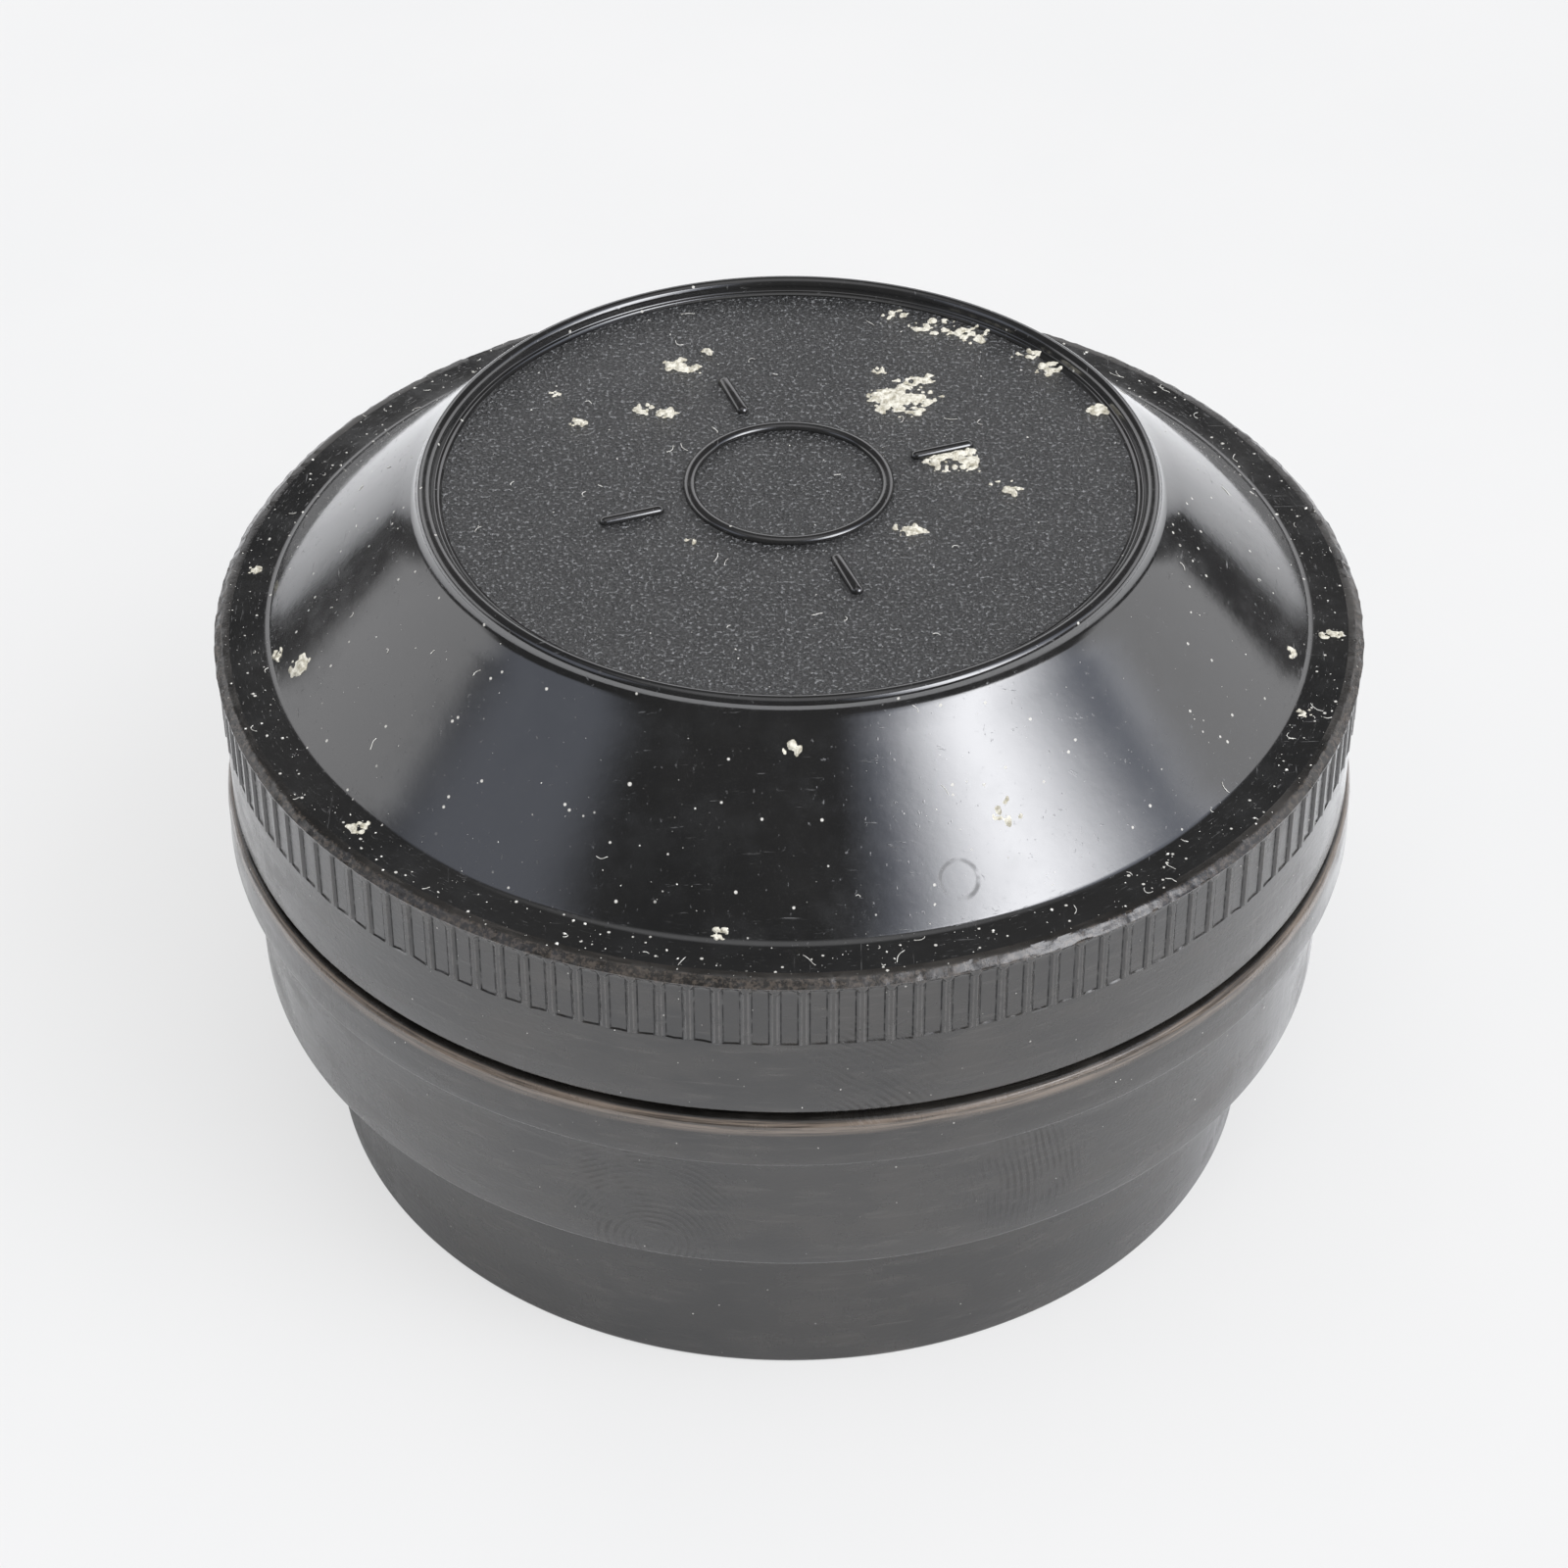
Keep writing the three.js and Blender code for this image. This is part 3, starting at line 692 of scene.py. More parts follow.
def knurl_rings():
    """Rings from the plain band up over the ribs and the collar to the edge of the shelf."""
    angles = ring_angles(FINE)
    u = angles / TURN
    pitch = TURN / RIB_COUNT
    across = np.abs(angles % pitch - pitch / 2) * RIB_TIP_R
    from_flute = pitch * RIB_TIP_R / 2 - across
    ragged = 0.07 * noise(u, 0, 330, 1, 3) + 0.05 * noise(u, 0, 90, 1, 4)
    worn = 0.02 * noise(u, 0, 250, 1, 5) + 0.012 * noise(u, 0, 600, 1, 6)

    def wall(z):
        inner = FLUTE_HALF_WIDTH - FLUTE_CORNER
        qx, qz = from_flute - inner, z - (FLUTE_TOP_Z - FLUTE_CORNER)
        outside = np.hypot(np.maximum(qx, 0), np.maximum(qz, 0))
        away = outside + np.minimum(np.maximum(qx, qz), 0) - FLUTE_CORNER
        tip = RIB_TIP_R - RIB_TIP_DROP * smooth((FLUTE_TOP_Z - 0.22 - z) / 0.1)
        return FLUTE_R + (tip - FLUTE_R) * np.clip((away + FLANK) / (2 * FLANK), 0, 1)

    bottom = FLUTE_BOTTOM_Z + ragged
    rings = [ring(SKIRT_R, FLUTE_BOTTOM_Z - 0.25, FINE), ring(SKIRT_R, bottom - 0.06, FINE)]
    lip = np.maximum(wall(FLUTE_BOTTOM_Z + 1) - 0.1, SKIRT_R + 0.06)
    rings.append(ring(lip + worn, bottom, FINE))
    for z in (0.09, 0.6, 1.3, 2.0, 2.7, 3.4, 3.85, 4.0, 4.1, 4.18, 4.25, 4.33, 4.42):
        height = FLUTE_BOTTOM_Z + z
        rag = ragged if z < 0.1 else 0
        rings.append(ring(wall(height) + worn * 0.4, height + rag, FINE))
    rough = noise(u, 0, 420, 1, 7)
    rings.append(ring(COLLAR_R - 0.03 + worn, COLLAR_Z - 0.02, FINE))
    for share in (0.0, 0.2, 0.45, 0.7, 0.9):
        r = COLLAR_R - 0.02 - (COLLAR_R - SHELF_R) * share
        z = COLLAR_Z + 0.06 + (SHELF_Z - COLLAR_Z - 0.08) * share
        pit = 0.022 * noise(u, 0, 500, 1, 8 + int(share * 10)) + worn
        rings.append(ring(r + pit, z + pit, FINE))
    rings.append(ring(SHELF_R - 0.1 + 0.05 * rough, SHELF_Z, FINE))
    return rings


def lid_profile():
    """Profile points over the shelf, the cone and the bead to the panel's edge."""
    rise, run = CONE_TOP_Z - SHELF_Z, CONE_FOOT_R - CONE_TOP_R
    slope = math.degrees(math.atan2(rise, run))
    length = math.hypot(rise, run)
    reach = CONE_FILLET * math.tan(math.radians(slope / 2))
    points = [(SHELF_R - 0.5, SHELF_Z), (CONE_FOOT_R + 1.2, SHELF_Z)]
    points += arc(CONE_FOOT_R + reach, SHELF_Z + CONE_FILLET, CONE_FILLET, -90, -90 - slope, 8)
    foot = points[-1]
    along = length - BEAD_R - 0.15
    top = (CONE_FOOT_R - run * along / length, SHELF_Z + rise * along / length)
    points += straight(foot, top, 9) + [top]
    points.append((top[0] - 0.1, top[1] + 0.12))
    points += arc(BEAD_CENTRE_R, BEAD_CENTRE_Z, BEAD_R, -4, 172, 22)
    points += arc(PANEL_R + 1.08, PANEL_Z + 0.28, 0.15, -10, -90, 5)
    points += [(PANEL_R + 1.0, PANEL_Z + PANEL_STEP), (PANEL_R + 0.88, PANEL_Z + 0.01)]
    points += [(PANEL_R + 0.84, PANEL_Z), (PANEL_R + 0.8, PANEL_Z)]
    return points


def panel_rings():
    """Rings of the grained panel, which thin out towards the middle."""
    rings = []
    for r in np.arange(PANEL_R + 0.7, 0.2, -0.3):
        count = max(17, COARSE // 2 ** max(0, int(math.log2(PANEL_R / r))))
        angles = ring_angles(count)
        x = 0.5 + r * np.cos(angles) / (2.2 * PANEL_R)
        y = 0.5 + r * np.sin(angles) / (2.2 * PANEL_R)
        grain = 0.02 * noise(x, y, 70, 70, 21) + 0.015 * noise(y, x, 33, 33, 22)
        rings.append(ring(r, PANEL_Z + grain, count))
    rings.append(pole(rings[-1][:, 2].mean()))
    return rings


def lid_inside_rings():
    """Rings from the middle of the roof out and down to the skirt's lower edge."""
    edge = 0.4
    rings = [pole(ROOF_Z)] + [ring(r, ROOF_Z) for r in (4, 12, 20, ROOF_R - edge)]
    rings += rings_at(arc(ROOF_R - edge, ROOF_Z - edge, edge, 60, 0, 3))
    shoulder = (SHOULDER_INNER_R, SHOULDER_Z)
    rings += rings_at(straight((ROOF_R, ROOF_Z - edge), shoulder, 6))
    rings += rings_at([shoulder, (SKIRT_INNER_R - edge, SHOULDER_Z)])
    rings.append(ring(SKIRT_INNER_R, SHOULDER_Z - edge))
    start_z = THREAD_START_Z + THREAD_LEAD / 2
    for z in np.arange(SHOULDER_Z - 0.55, LID_Z + 0.5, -THREAD_STEP):
        rings.append(ring(SKIRT_INNER_R - thread_ridge(z, start_z), z))
    rings.append(ring(SKIRT_INNER_R, LID_Z + SMALL_EDGE))
    return rings


def build_lid(materials):
    polished_slot, satin_slot, panel_slot = 0, 1, 2
    start = [(SKIRT_INNER_R + SMALL_EDGE, LID_Z)]
    start += arc(SKIRT_R - SMALL_EDGE, LID_Z + SMALL_EDGE, SMALL_EDGE, -90, 0, 4)
    start += [(SKIRT_R, LID_Z + z) for z in (2.0, 4.0, 5.1)]
    groups = [
        (rings_at(start), satin_slot),
        (knurl_rings(), satin_slot),
        (rings_at(lid_profile()), polished_slot),
        (panel_rings(), panel_slot),
        (lid_inside_rings(), satin_slot),
    ]
    rings = [r for group, _ in groups for r in group]
    slots = [slot for group, slot in groups for _ in group]
    lid = turned("lid_moulding", rings, slots, closed=True, sharp=34)
    return finished(lid, "lid", materials, ["lid_shell"])


MARK_RING_R = 6.2
MARK_BAR_FROM = 8.2
MARK_BAR_TO = 12.4
MARK_LINE = 0.8
MARK_TURN = 0.35
MARK_HEIGHT = 0.35


def mark_section():
    """Half-round section of a raised line: offsets across it and heights over the panel."""
    angles = np.linspace(0, math.pi, 9)
    half = [(MARK_LINE / 2 * math.cos(a), MARK_HEIGHT * abs(math.sin(a)) ** 0.8) for a in angles]
    return half + [(-MARK_LINE / 2, -0.2), (MARK_LINE / 2, -0.2)]


def build_mark(material):
    """The raised ring and bars in the middle of the panel, with rounded tops and ends."""
    section = [(MARK_RING_R + across, PANEL_Z + up) for across, up in mark_section()]
    mark = turned("lid_mark", rings_at(section, 96), closed=True, sharp=60)
    bars = [mark_bar(MARK_TURN + i * TURN / 4) for i in range(4)]
    for bar in bars:
        combined(mark, bar, "UNION")
    return finished(mark, "lid", [material])


def mark_bar(turn):
    """A short raised line with round ends, on a ray from the middle."""
    half = MARK_LINE / 2
    end = [(half - half * math.cos(a), math.sin(a)) for a in np.linspace(0.15, math.pi / 2, 6)]
    stations = [(MARK_BAR_FROM + along, width) for along, width in end]
    stations += [(MARK_BAR_TO - along, width) for along, width in end[::-1]]
    section = mark_section()
    vertices = []
    for along, width in stations:
        for across, up in section:
            x, y, z = polar(along, turn, PANEL_Z + (up * width if up > 0 else up))
            side = across * width
            vertices.append((x - side * math.sin(turn), y + side * math.cos(turn), z))
    return make_tube("bar", vertices, swept_faces(len(stations), len(section)), 60)


# ---- base ------------------------------------------------------------------------------------


def well_radius(angles, r):
    """The well's wall at each angle, with its four half-round bosses."""
    wall = np.full(len(angles), float(r))
    for screw in SCREW_ANGLES:
        away = (angles - screw + math.pi) % TURN - math.pi
        reach = BOSS_R**2 - (SCREW_CIRCLE_R * np.sin(away)) ** 2
        hit = (reach > 0) & (np.abs(away) < 0.2)
        boss = SCREW_CIRCLE_R * np.cos(away) - np.sqrt(np.maximum(reach, 0))
        wall = np.where(hit, np.minimum(wall, boss), wall)
    return wall


def base_rings():
    """Rings from the middle of the underside, up the outside and down into the well."""
    rings = [pole(0)] + [ring(r, 0) for r in (4, 12, 20, 27)]
    rings += rings_at(arc(FOOT_R - FOOT_EDGE, FOOT_EDGE, FOOT_EDGE, -90, 0, 6))
    rings += [ring(FOOT_R, z) for z in (3, 6, 9, 12)]
    rings += rings_at(arc(FOOT_R + 0.4, FOOT_TOP_Z - 0.4, 0.4, 180, 90, 4))
    edge = arc(BAND_BOTTOM_R - SMALL_EDGE, FOOT_TOP_Z + SMALL_EDGE, SMALL_EDGE, -90, 0, 4)
    rings += rings_at(edge)
    rings += rings_at(straight(edge[-1], (BAND_TOP_R, BAND_TOP_Z - 0.3), 5))
    rings += rings_at(arc(BAND_TOP_R + 0.3, BAND_TOP_Z - 0.3, 0.3, 180, 90, 3))
    lip_r, lip_z = FLANGE_BOTTOM_R - SMALL_EDGE, BAND_TOP_Z + SMALL_EDGE
    rings += rings_at(arc(lip_r, lip_z, SMALL_EDGE, -90, 0, 4))
    return rings + flange_rings() + neck_rings() + well_rings()


def neck_rings():
    """The threaded neck, its rounded rim, and the mouth down to the ledge."""
    rings = rings_at([(NECK_R + 0.3, FLANGE_TOP_Z), (NECK_R, FLANGE_TOP_Z + 0.3)])
    for z in np.arange(FLANGE_TOP_Z + 0.6, NECK_TOP_Z - NECK_EDGE, THREAD_STEP):
        rings.append(ring(NECK_R + thread_ridge(z, THREAD_START_Z), z))
    rim_z = NECK_TOP_Z - NECK_EDGE
    rings += rings_at(arc(NECK_R - NECK_EDGE, rim_z, NECK_EDGE, 0, 90, 5))
    rings += rings_at(arc(MOUTH_R + NECK_EDGE, rim_z, NECK_EDGE, 90, 180, 5))
    return rings + [ring(MOUTH_R, z) for z in (30, 26, 22, 18, LEDGE_Z + 0.3)]


def well_rings():
    """The ledge under the spring, the well's wall and its floor."""
    angles = ring_angles(COARSE)
    rings = rings_at([(MOUTH_R - 0.3, LEDGE_Z), (WELL_R + 0.3, LEDGE_Z)])
    for z in (LEDGE_Z - 0.3, 12, 8, WELL_FLOOR_Z + WELL_EDGE):
        rings.append(ring(well_radius(angles, WELL_R), z))
    rings.append(ring(well_radius(angles, WELL_R - WELL_EDGE), WELL_FLOOR_Z))
    return rings + rings_at([(20, WELL_FLOOR_Z), (10, WELL_FLOOR_Z)]) + [pole(WELL_FLOOR_Z)]


def flange_rings():
    """The flange's wall and its worn, slightly ragged top edge with two fine grooves."""
    count = 2 * COARSE
    u = ring_angles(count) / TURN
    worn = 0.02 * noise(u, 0, 190, 1, 31) + 0.015 * noise(u, 0, 60, 1, 32)
    rings = [ring(FLANGE_BOTTOM_R - 0.03, FLANGE_TOP_Z - z, count) for z in (2.4, 1.6, 0.9)]
    centre_r, centre_z = FLANGE_TOP_R - FLANGE_EDGE, FLANGE_TOP_Z - FLANGE_EDGE
    for i, (r, z) in enumerate(arc(centre_r, centre_z, FLANGE_EDGE, 0, 90, 10)):
        off = worn - 0.025 if i in (4, 7) else worn
        tilt = math.radians(9 * i)
        rings.append(ring(r + off * math.cos(tilt), z + off * math.sin(tilt), count))
    return rings


def build_base(material):
    base = turned("base_moulding", base_rings())
    return finished(base, "base", [material], ["base_cup"])


# ---- pieces inside ---------------------------------------------------------------------------


def felt_disc(name, low, high, seed):
    """A soft disc with a rounded, slightly uneven rim and a lumpy face."""
    bottom, top = low.z, high.z
    radius, half = high.x - 0.15, (top - bottom) / 2
    count = 180
    u = ring_angles(count) / TURN
    rim = 0.1 * noise(u, 0, 40, 1, seed) + 0.07 * noise(u, 0, 90, 1, seed + 1)
    rings = [pole(bottom), ring(radius * 0.6, bottom, count)]
    inner = radius - half * 0.7
    for r, z in arc(inner, (bottom + top) / 2, half, -90, 90, 8):
        rings.append(ring(inner + (r - inner) * 0.7 + rim, z, count))
    for share in np.linspace(0.95, 0.05, 24):
        uneven = 0.07 * noise(u, share, 60, 24, seed + 2)
        rings.append(ring(radius * share, top - 0.07 + uneven, count))
    return turned(name, rings + [pole(top - 0.05)])


def card_disc():
    radius, bottom, top = card_high.x, card_low.z, card_high.z
    edge = 0.06 * noise(ring_angles(COARSE) / TURN, 0, 60, 1, 51)
    rings = [pole(bottom), ring(radius - 0.12, bottom)]
    rings += rings_at([(radius - 0.08 + edge, bottom + 0.08), (radius - 0.08 + edge, top - 0.1)])
    rings += rings_at([(radius - 0.14, top), (radius / 2, top)]) + [pole(top)]
    return turned("liner_card", rings)


def bevelled(inner, outer, bottom, top, edge):
    """A rectangular section with its corners cut off."""
    return [
        (inner + edge, bottom), (outer - edge, bottom), (outer, bottom + edge), (outer, top - edge),
        (outer - edge, top), (inner + edge, top), (inner, top - edge), (inner, bottom + edge),
    ]


def arc_plate(name, inner, outer, centre, span, bottom, thickness, steps, lift=0.0):
    """A plate bent round Z, with bevelled edges. lift is how far its two ends curve up."""
    section = bevelled(inner, outer, bottom, bottom + thickness, min(thickness, 1.0) * 0.3)
    vertices = []
    for k in range(steps + 1):
        share = 2 * k / steps - 1
        for r, z in section:
            vertices.append(polar(r, centre + share * span / 2, z + lift * share * share))
    return make_tube(name, vertices, swept_faces(steps + 1, len(section)))


def plug(name, points, place):
    """A closed solid of revolution on an axis at place, which cuts holes."""
    rings = [pole(points[0][1])] + rings_at(points, 40) + [pole(points[-1][1])]
    return shifted(turned(name, rings), place)


def screw_places():
    return [polar(SCREW_CIRCLE_R, a, 0)[:2] for a in SCREW_ANGLES]


HEAD_R = 1.7
SHANK_R = 0.8
HOLE_GAP = 0.3


def build_spring(material):
    """A flat ring with three leaves that curve up, each on a bridge from the ring."""
    bottom, outer, thickness = spring_low.z, spring_high.x, 0.4
    inner = outer - 4.5
    section = bevelled(inner, outer, bottom, bottom + thickness, 0.1)
    spring = turned("leaf_spring", rings_at(section, 240), closed=True)
    for centre in TAB_ANGLES:
        leaf = (inner - 3.5, inner - 2, centre, 1.4, bottom, thickness, 40, 0.8)
        bridge = (inner - 2.3, inner + 0.3, centre, 0.16, bottom, thickness, 4)
        combined(spring, arc_plate("leaf", *leaf), "UNION")
        combined(spring, arc_plate("bridge", *bridge), "UNION")
    hole = [(SHANK_R + HOLE_GAP, bottom - 1), (SHANK_R + HOLE_GAP, bottom + 2)]
    for place in screw_places():
        combined(spring, plug("hole", hole, place), "DIFFERENCE")
    return finished(spring, "base", [material], ["seat_spring"])


def build_seat_ring(material):
    """The bayonet ring with its three inward tabs and four countersunk holes."""
    bottom, top, outer = ring_low.z, ring_high.z, ring_high.x
    inner, edge = outer - 6.4, 0.3
    points = [(inner + 0.15, bottom), (outer - 0.15, bottom), (outer, bottom + 0.15)]
    points += arc(outer - edge, top - edge, edge, 0, 90, 4)
    points += [(inner + 0.75, top), (inner + 0.25, top - 0.12), (inner, top - 0.3)]
    points.append((inner, bottom + 0.15))
    seat = turned("bayonet_ring", rings_at(points, 240), closed=True)
    for centre in TAB_ANGLES:
        tab = arc_plate("tab", inner - 2.0, inner + 0.5, centre, 0.8, top - 1.25, 1.0, 24)
        combined(seat, tab, "UNION")
    head = top - 0.1
    sink = [(SHANK_R + HOLE_GAP, head - 5), (SHANK_R + HOLE_GAP, head - 0.9 - HOLE_GAP)]
    sink += [(HEAD_R + HOLE_GAP, head - HOLE_GAP), (HEAD_R + HOLE_GAP, top + 1)]
    for place in screw_places():
        combined(seat, plug("countersink", sink, place), "DIFFERENCE")
    return finished(seat, "base", [material], ["seat_ring"])


def build_screw(number, place, slot_angle, material):
    node = f"seat_screw_{number}"
    low, high = box_mm(node)
    top, tip = high.z, low.z
    points = [(SHANK_R - 0.4, tip), (SHANK_R, tip + 0.4), (SHANK_R, top - 1.0)]
    points += [(HEAD_R, top - 0.12), (HEAD_R - 0.05, top - 0.04), (HEAD_R - 0.35, top)]
    rings = [pole(tip)] + rings_at(points, 48) + [pole(top + 0.02)]
    screw = turned(f"screw_{number}", rings, sharp=25)
    combined(screw, slot_blade(top, slot_angle), "DIFFERENCE")
    return finished(shifted(screw, place), "base", [material], [node])


def slot_blade(top, angle):
    """A thin block across a screw's head, which cuts its slot."""
    mesh = bpy.data.meshes.new("blade")
    work = bmesh.new()
    bmesh.ops.create_cube(work, size=1)
    shape = Matrix.Rotation(angle, 4, "Z") @ Matrix.Diagonal((6, 0.45, 1, 1))
    work.transform(Matrix.Scale(MM, 4) @ Matrix.Translation((0, 0, top)) @ shape)
    work.to_mesh(mesh)
    work.free()
    return in_scene("blade", mesh)


# ---- dust, lint and residue ------------------------------------------------------------------


UP = (0, 0, 1)


def unit_lump(rng):
    """An octahedron with uneven corners, as vertices and faces."""
    corners = np.array([[1, 0, 0], [-1, 0, 0], [0, 1, 0], [0, -1, 0], [0, 0, 1], [0, 0, -1]], float)
    corners *= rng.uniform(0.55, 1.25, (6, 1))
    faces = [(0, 2, 4), (2, 1, 4), (1, 3, 4), (3, 0, 4), (2, 0, 5), (1, 2, 5), (3, 1, 5), (0, 3, 5)]
    return corners, faces


def lumps(name, places, rng):
    """One object of many small lumps. Each place is a point, a normal, a size in mm and how tall
    the lump is for its size."""
    vertices, faces = [], []
    for point, normal, size, tall in places:
        corners, own = unit_lump(rng)
        corners = corners * (size, size * rng.uniform(0.6, 1), size * tall)
        spin = Matrix.Rotation(rng.uniform(0, TURN), 3, "Z")
        tilt = Vector(normal).to_track_quat("Z", "Y").to_matrix()
        start = len(vertices)
        vertices += (corners @ np.array(tilt @ spin).T + point).tolist()
        faces += [tuple(start + i for i in face) for face in own]
    return make_mesh(name, vertices, faces, 180)


def shelf_dust(rng):
    """A speck's point, normal, size and tallness, as are the next three."""
    point = polar(rng.uniform(CONE_FOOT_R + 0.2, SHELF_R - 0.1), rng.uniform(0, TURN), SHELF_Z)
    return point, UP, 0.03 + 0.15 * rng.random() ** 5, 0.5


def cone_dust(rng):
    angle, share = rng.uniform(-180, 180), rng.random()
    return on_cone(angle, share), cone_normal(angle), 0.025 + 0.06 * rng.random() ** 4, 0.6


def panel_dust(rng):
    r = PANEL_R * math.sqrt(rng.random()) + 0.6 * rng.random()
    point = polar(r, rng.uniform(0, TURN), PANEL_Z + 0.01)
    return point, UP, 0.03 + 0.08 * rng.random() ** 4, 0.5


def wall_dust(rng, r, low, high):
    x, y, z = on_wall(rng.uniform(-180, 180), r, rng.uniform(low, high))
    return (x, y, z), (x, y, 0), 0.025 + 0.05 * rng.random() ** 3, 0.5


# Crusts of dried residue: x and y on the panel in mm, reach in mm, and how full the patch is.
PANEL_CRUSTS = [
    (-7.0, 13.2, 1.3, 0.5), (-9.3, 8.2, 0.8, 0.35), (-7.7, 7.8, 0.75, 0.45), (-13.3, 6.8, 0.6, 0.4),
    (7.6, 9.4, 2.3, 0.62), (8.6, 11.4, 1.1, 0.4), (10.4, 2.3, 1.9, 0.5), (11.0, 3.6, 0.9, 0.5),
    (13.6, -0.6, 1.3, 0.1), (7.7, -4.9, 1.2, 0.4), (-6.0, -6.2, 0.5, 0.4), (19.7, 8.0, 0.9, 0.5),
    (9.4, 18.0, 1.5, 0.35), (12.0, 17.0, 1.6, 0.4), (7.2, 19.2, 1.0, 0.4), (16.8, 13.0, 1.2, 0.3),
    (15.6, 14.6, 1.1, 0.4), (-5.3, 15.0, 0.6, 0.2), (5.9, 12.7, 0.6, 0.25), (-15.0, 10.0, 0.5, 0.1),
]
# Crusts on the cone: degrees right of the front, share of the way up, reach and fullness.
CONE_CRUSTS = [
    (-74, 0.16, 1.1, 0.45), (0.5, 0.84, 0.65, 0.4), (26, 0.42, 1.2, 0.1), (-7.0, 0.04, 0.6, 0.45),
    (-79, 0.05, 0.7, 0.35), (78, 0.1, 0.7, 0.2),
]
SHELF_CRUSTS = [(-49, 0.9, 0.9, 0.5), (84, 1.2, 0.8, 0.3), (70, 0.6, 0.7, 0.2), (-96, 1.4, 0.6, 0.4)]
CRUST_CELL = 0.07
CRUST_HEIGHT = 0.16


def crust(centre, normal, reach, fullness, seed):
    """A ragged flaky patch: the part of a lumpy sheet that stands above the surface."""
    half = int(reach * 1.6 / CRUST_CELL)
    steps = np.arange(-half, half + 1) * CRUST_CELL
    x, y = np.meshgrid(steps, steps)
    u, v = x / (4 * reach) + 0.5, y / (4 * reach) + 0.5
    fine = max(6, int(reach * 16))
    ragged = noise(u, v, 12, 12, seed) * 0.8 + noise(u, v, fine, fine, seed + 1) * 0.55
    value = fullness - (np.hypot(x, y * 1.25) / reach) ** 2 + ragged
    height = np.clip(value * 0.3, -0.03, CRUST_HEIGHT)
    height += 0.02 * noise(u, v, fine * 2, fine * 2, seed + 2)
    kept = value > 0
    height = np.where(kept, np.maximum(height, 0.015), -0.02)
    used = kept[:-1, :-1] | kept[1:, :-1] | kept[:-1, 1:] | kept[1:, 1:]
    numbers = np.arange(x.size).reshape(x.shape)
    corners = [numbers[:-1, :-1], numbers[:-1, 1:], numbers[1:, 1:], numbers[1:, :-1]]
    faces = np.stack([c[used] for c in corners], 1)
    tilt = np.array(Vector(normal).to_track_quat("Z", "Y").to_matrix())
    points = np.stack([x.ravel(), y.ravel(), height.ravel()], 1) @ tilt.T + np.array(centre)
    keep, numbered = np.unique(faces, return_inverse=True)
    return points[keep], numbered.reshape(faces.shape)


def residue():
    places = [((x, y, PANEL_Z), UP, reach, full) for x, y, reach, full in PANEL_CRUSTS]
    for angle, share, reach, full in CONE_CRUSTS:
        places.append((on_cone(angle, share), cone_normal(angle), reach, full))
    for angle, out, reach, full in SHELF_CRUSTS:
        places.append((on_wall(angle, CONE_FOOT_R + out, SHELF_Z), UP, reach, full))
    vertices, faces, start = [], [], 0
    for index, place in enumerate(places):
        points, own = crust(*place, 100 + 3 * index)
        vertices.append(points)
        faces += (own + start).tolist()
        start += len(points)
    return make_mesh("lid_residue", np.concatenate(vertices), faces, 50)


FIBRE_R = 0.02
FIBRE_STEPS = 10
FIBRE_SIDES = 5


def fibre(rng, start, normal, length):
    """A curled fibre lying on a surface, as a thin five-sided tube: its points and faces."""
    n = Vector(normal).normalized()
    heading = n.orthogonal().normalized()
    heading.rotate(Matrix.Rotation(rng.uniform(0, TURN), 3, n))
    bend = rng.normal(0, 0.2)
    point = Vector(start) + n * FIBRE_R
    vertices = []
    for _ in range(FIBRE_STEPS + 1):
        across = n.cross(heading).normalized()
        for i in range(FIBRE_SIDES):
            a = i * TURN / FIBRE_SIDES
            vertices.append(tuple(point + (across * math.cos(a) + n * math.sin(a)) * FIBRE_R))
        heading = heading.copy()
        heading.rotate(Matrix.Rotation(bend + rng.normal(0, 0.15), 3, n))
        point = point + heading * (length / FIBRE_STEPS)
    return vertices, swept_faces(FIBRE_STEPS + 1, FIBRE_SIDES)


def lint(name, places, rng):
    """One object of many fibres. Each place is a point, a normal and a length in mm."""
    vertices, faces = [], []
    for place in places:
        own, sides = fibre(rng, *place)
        faces += [tuple(len(vertices) + i for i in face) for face in sides]
        vertices += own
    return make_tube(name, vertices, faces, 180)


def shelf_lint(rng):
    """A fibre's point, normal and length, as are the next two."""
    a = rng.uniform(0, TURN)
    point = polar(rng.uniform(CONE_FOOT_R + 0.1, SHELF_R - 0.2), a, SHELF_Z)
    return point, UP, rng.uniform(0.3, 1.2)


def cone_lint(rng):
    angle = rng.uniform(-180, 180)
    return on_cone(angle, rng.uniform(0, 0.95)), cone_normal(angle), rng.uniform(0.2, 0.9)


def panel_lint(rng):
    point = polar(PANEL_R * math.sqrt(rng.random()), rng.uniform(0, TURN), PANEL_Z + 0.02)
    return point, UP, rng.uniform(0.3, 1.0)


def many(rng, *kinds):
    """Places drawn in turn: for each kind, how many, what draws one, and what that is given."""
    return [draw(rng, *given) for count, draw, *given in kinds for _ in range(count)]


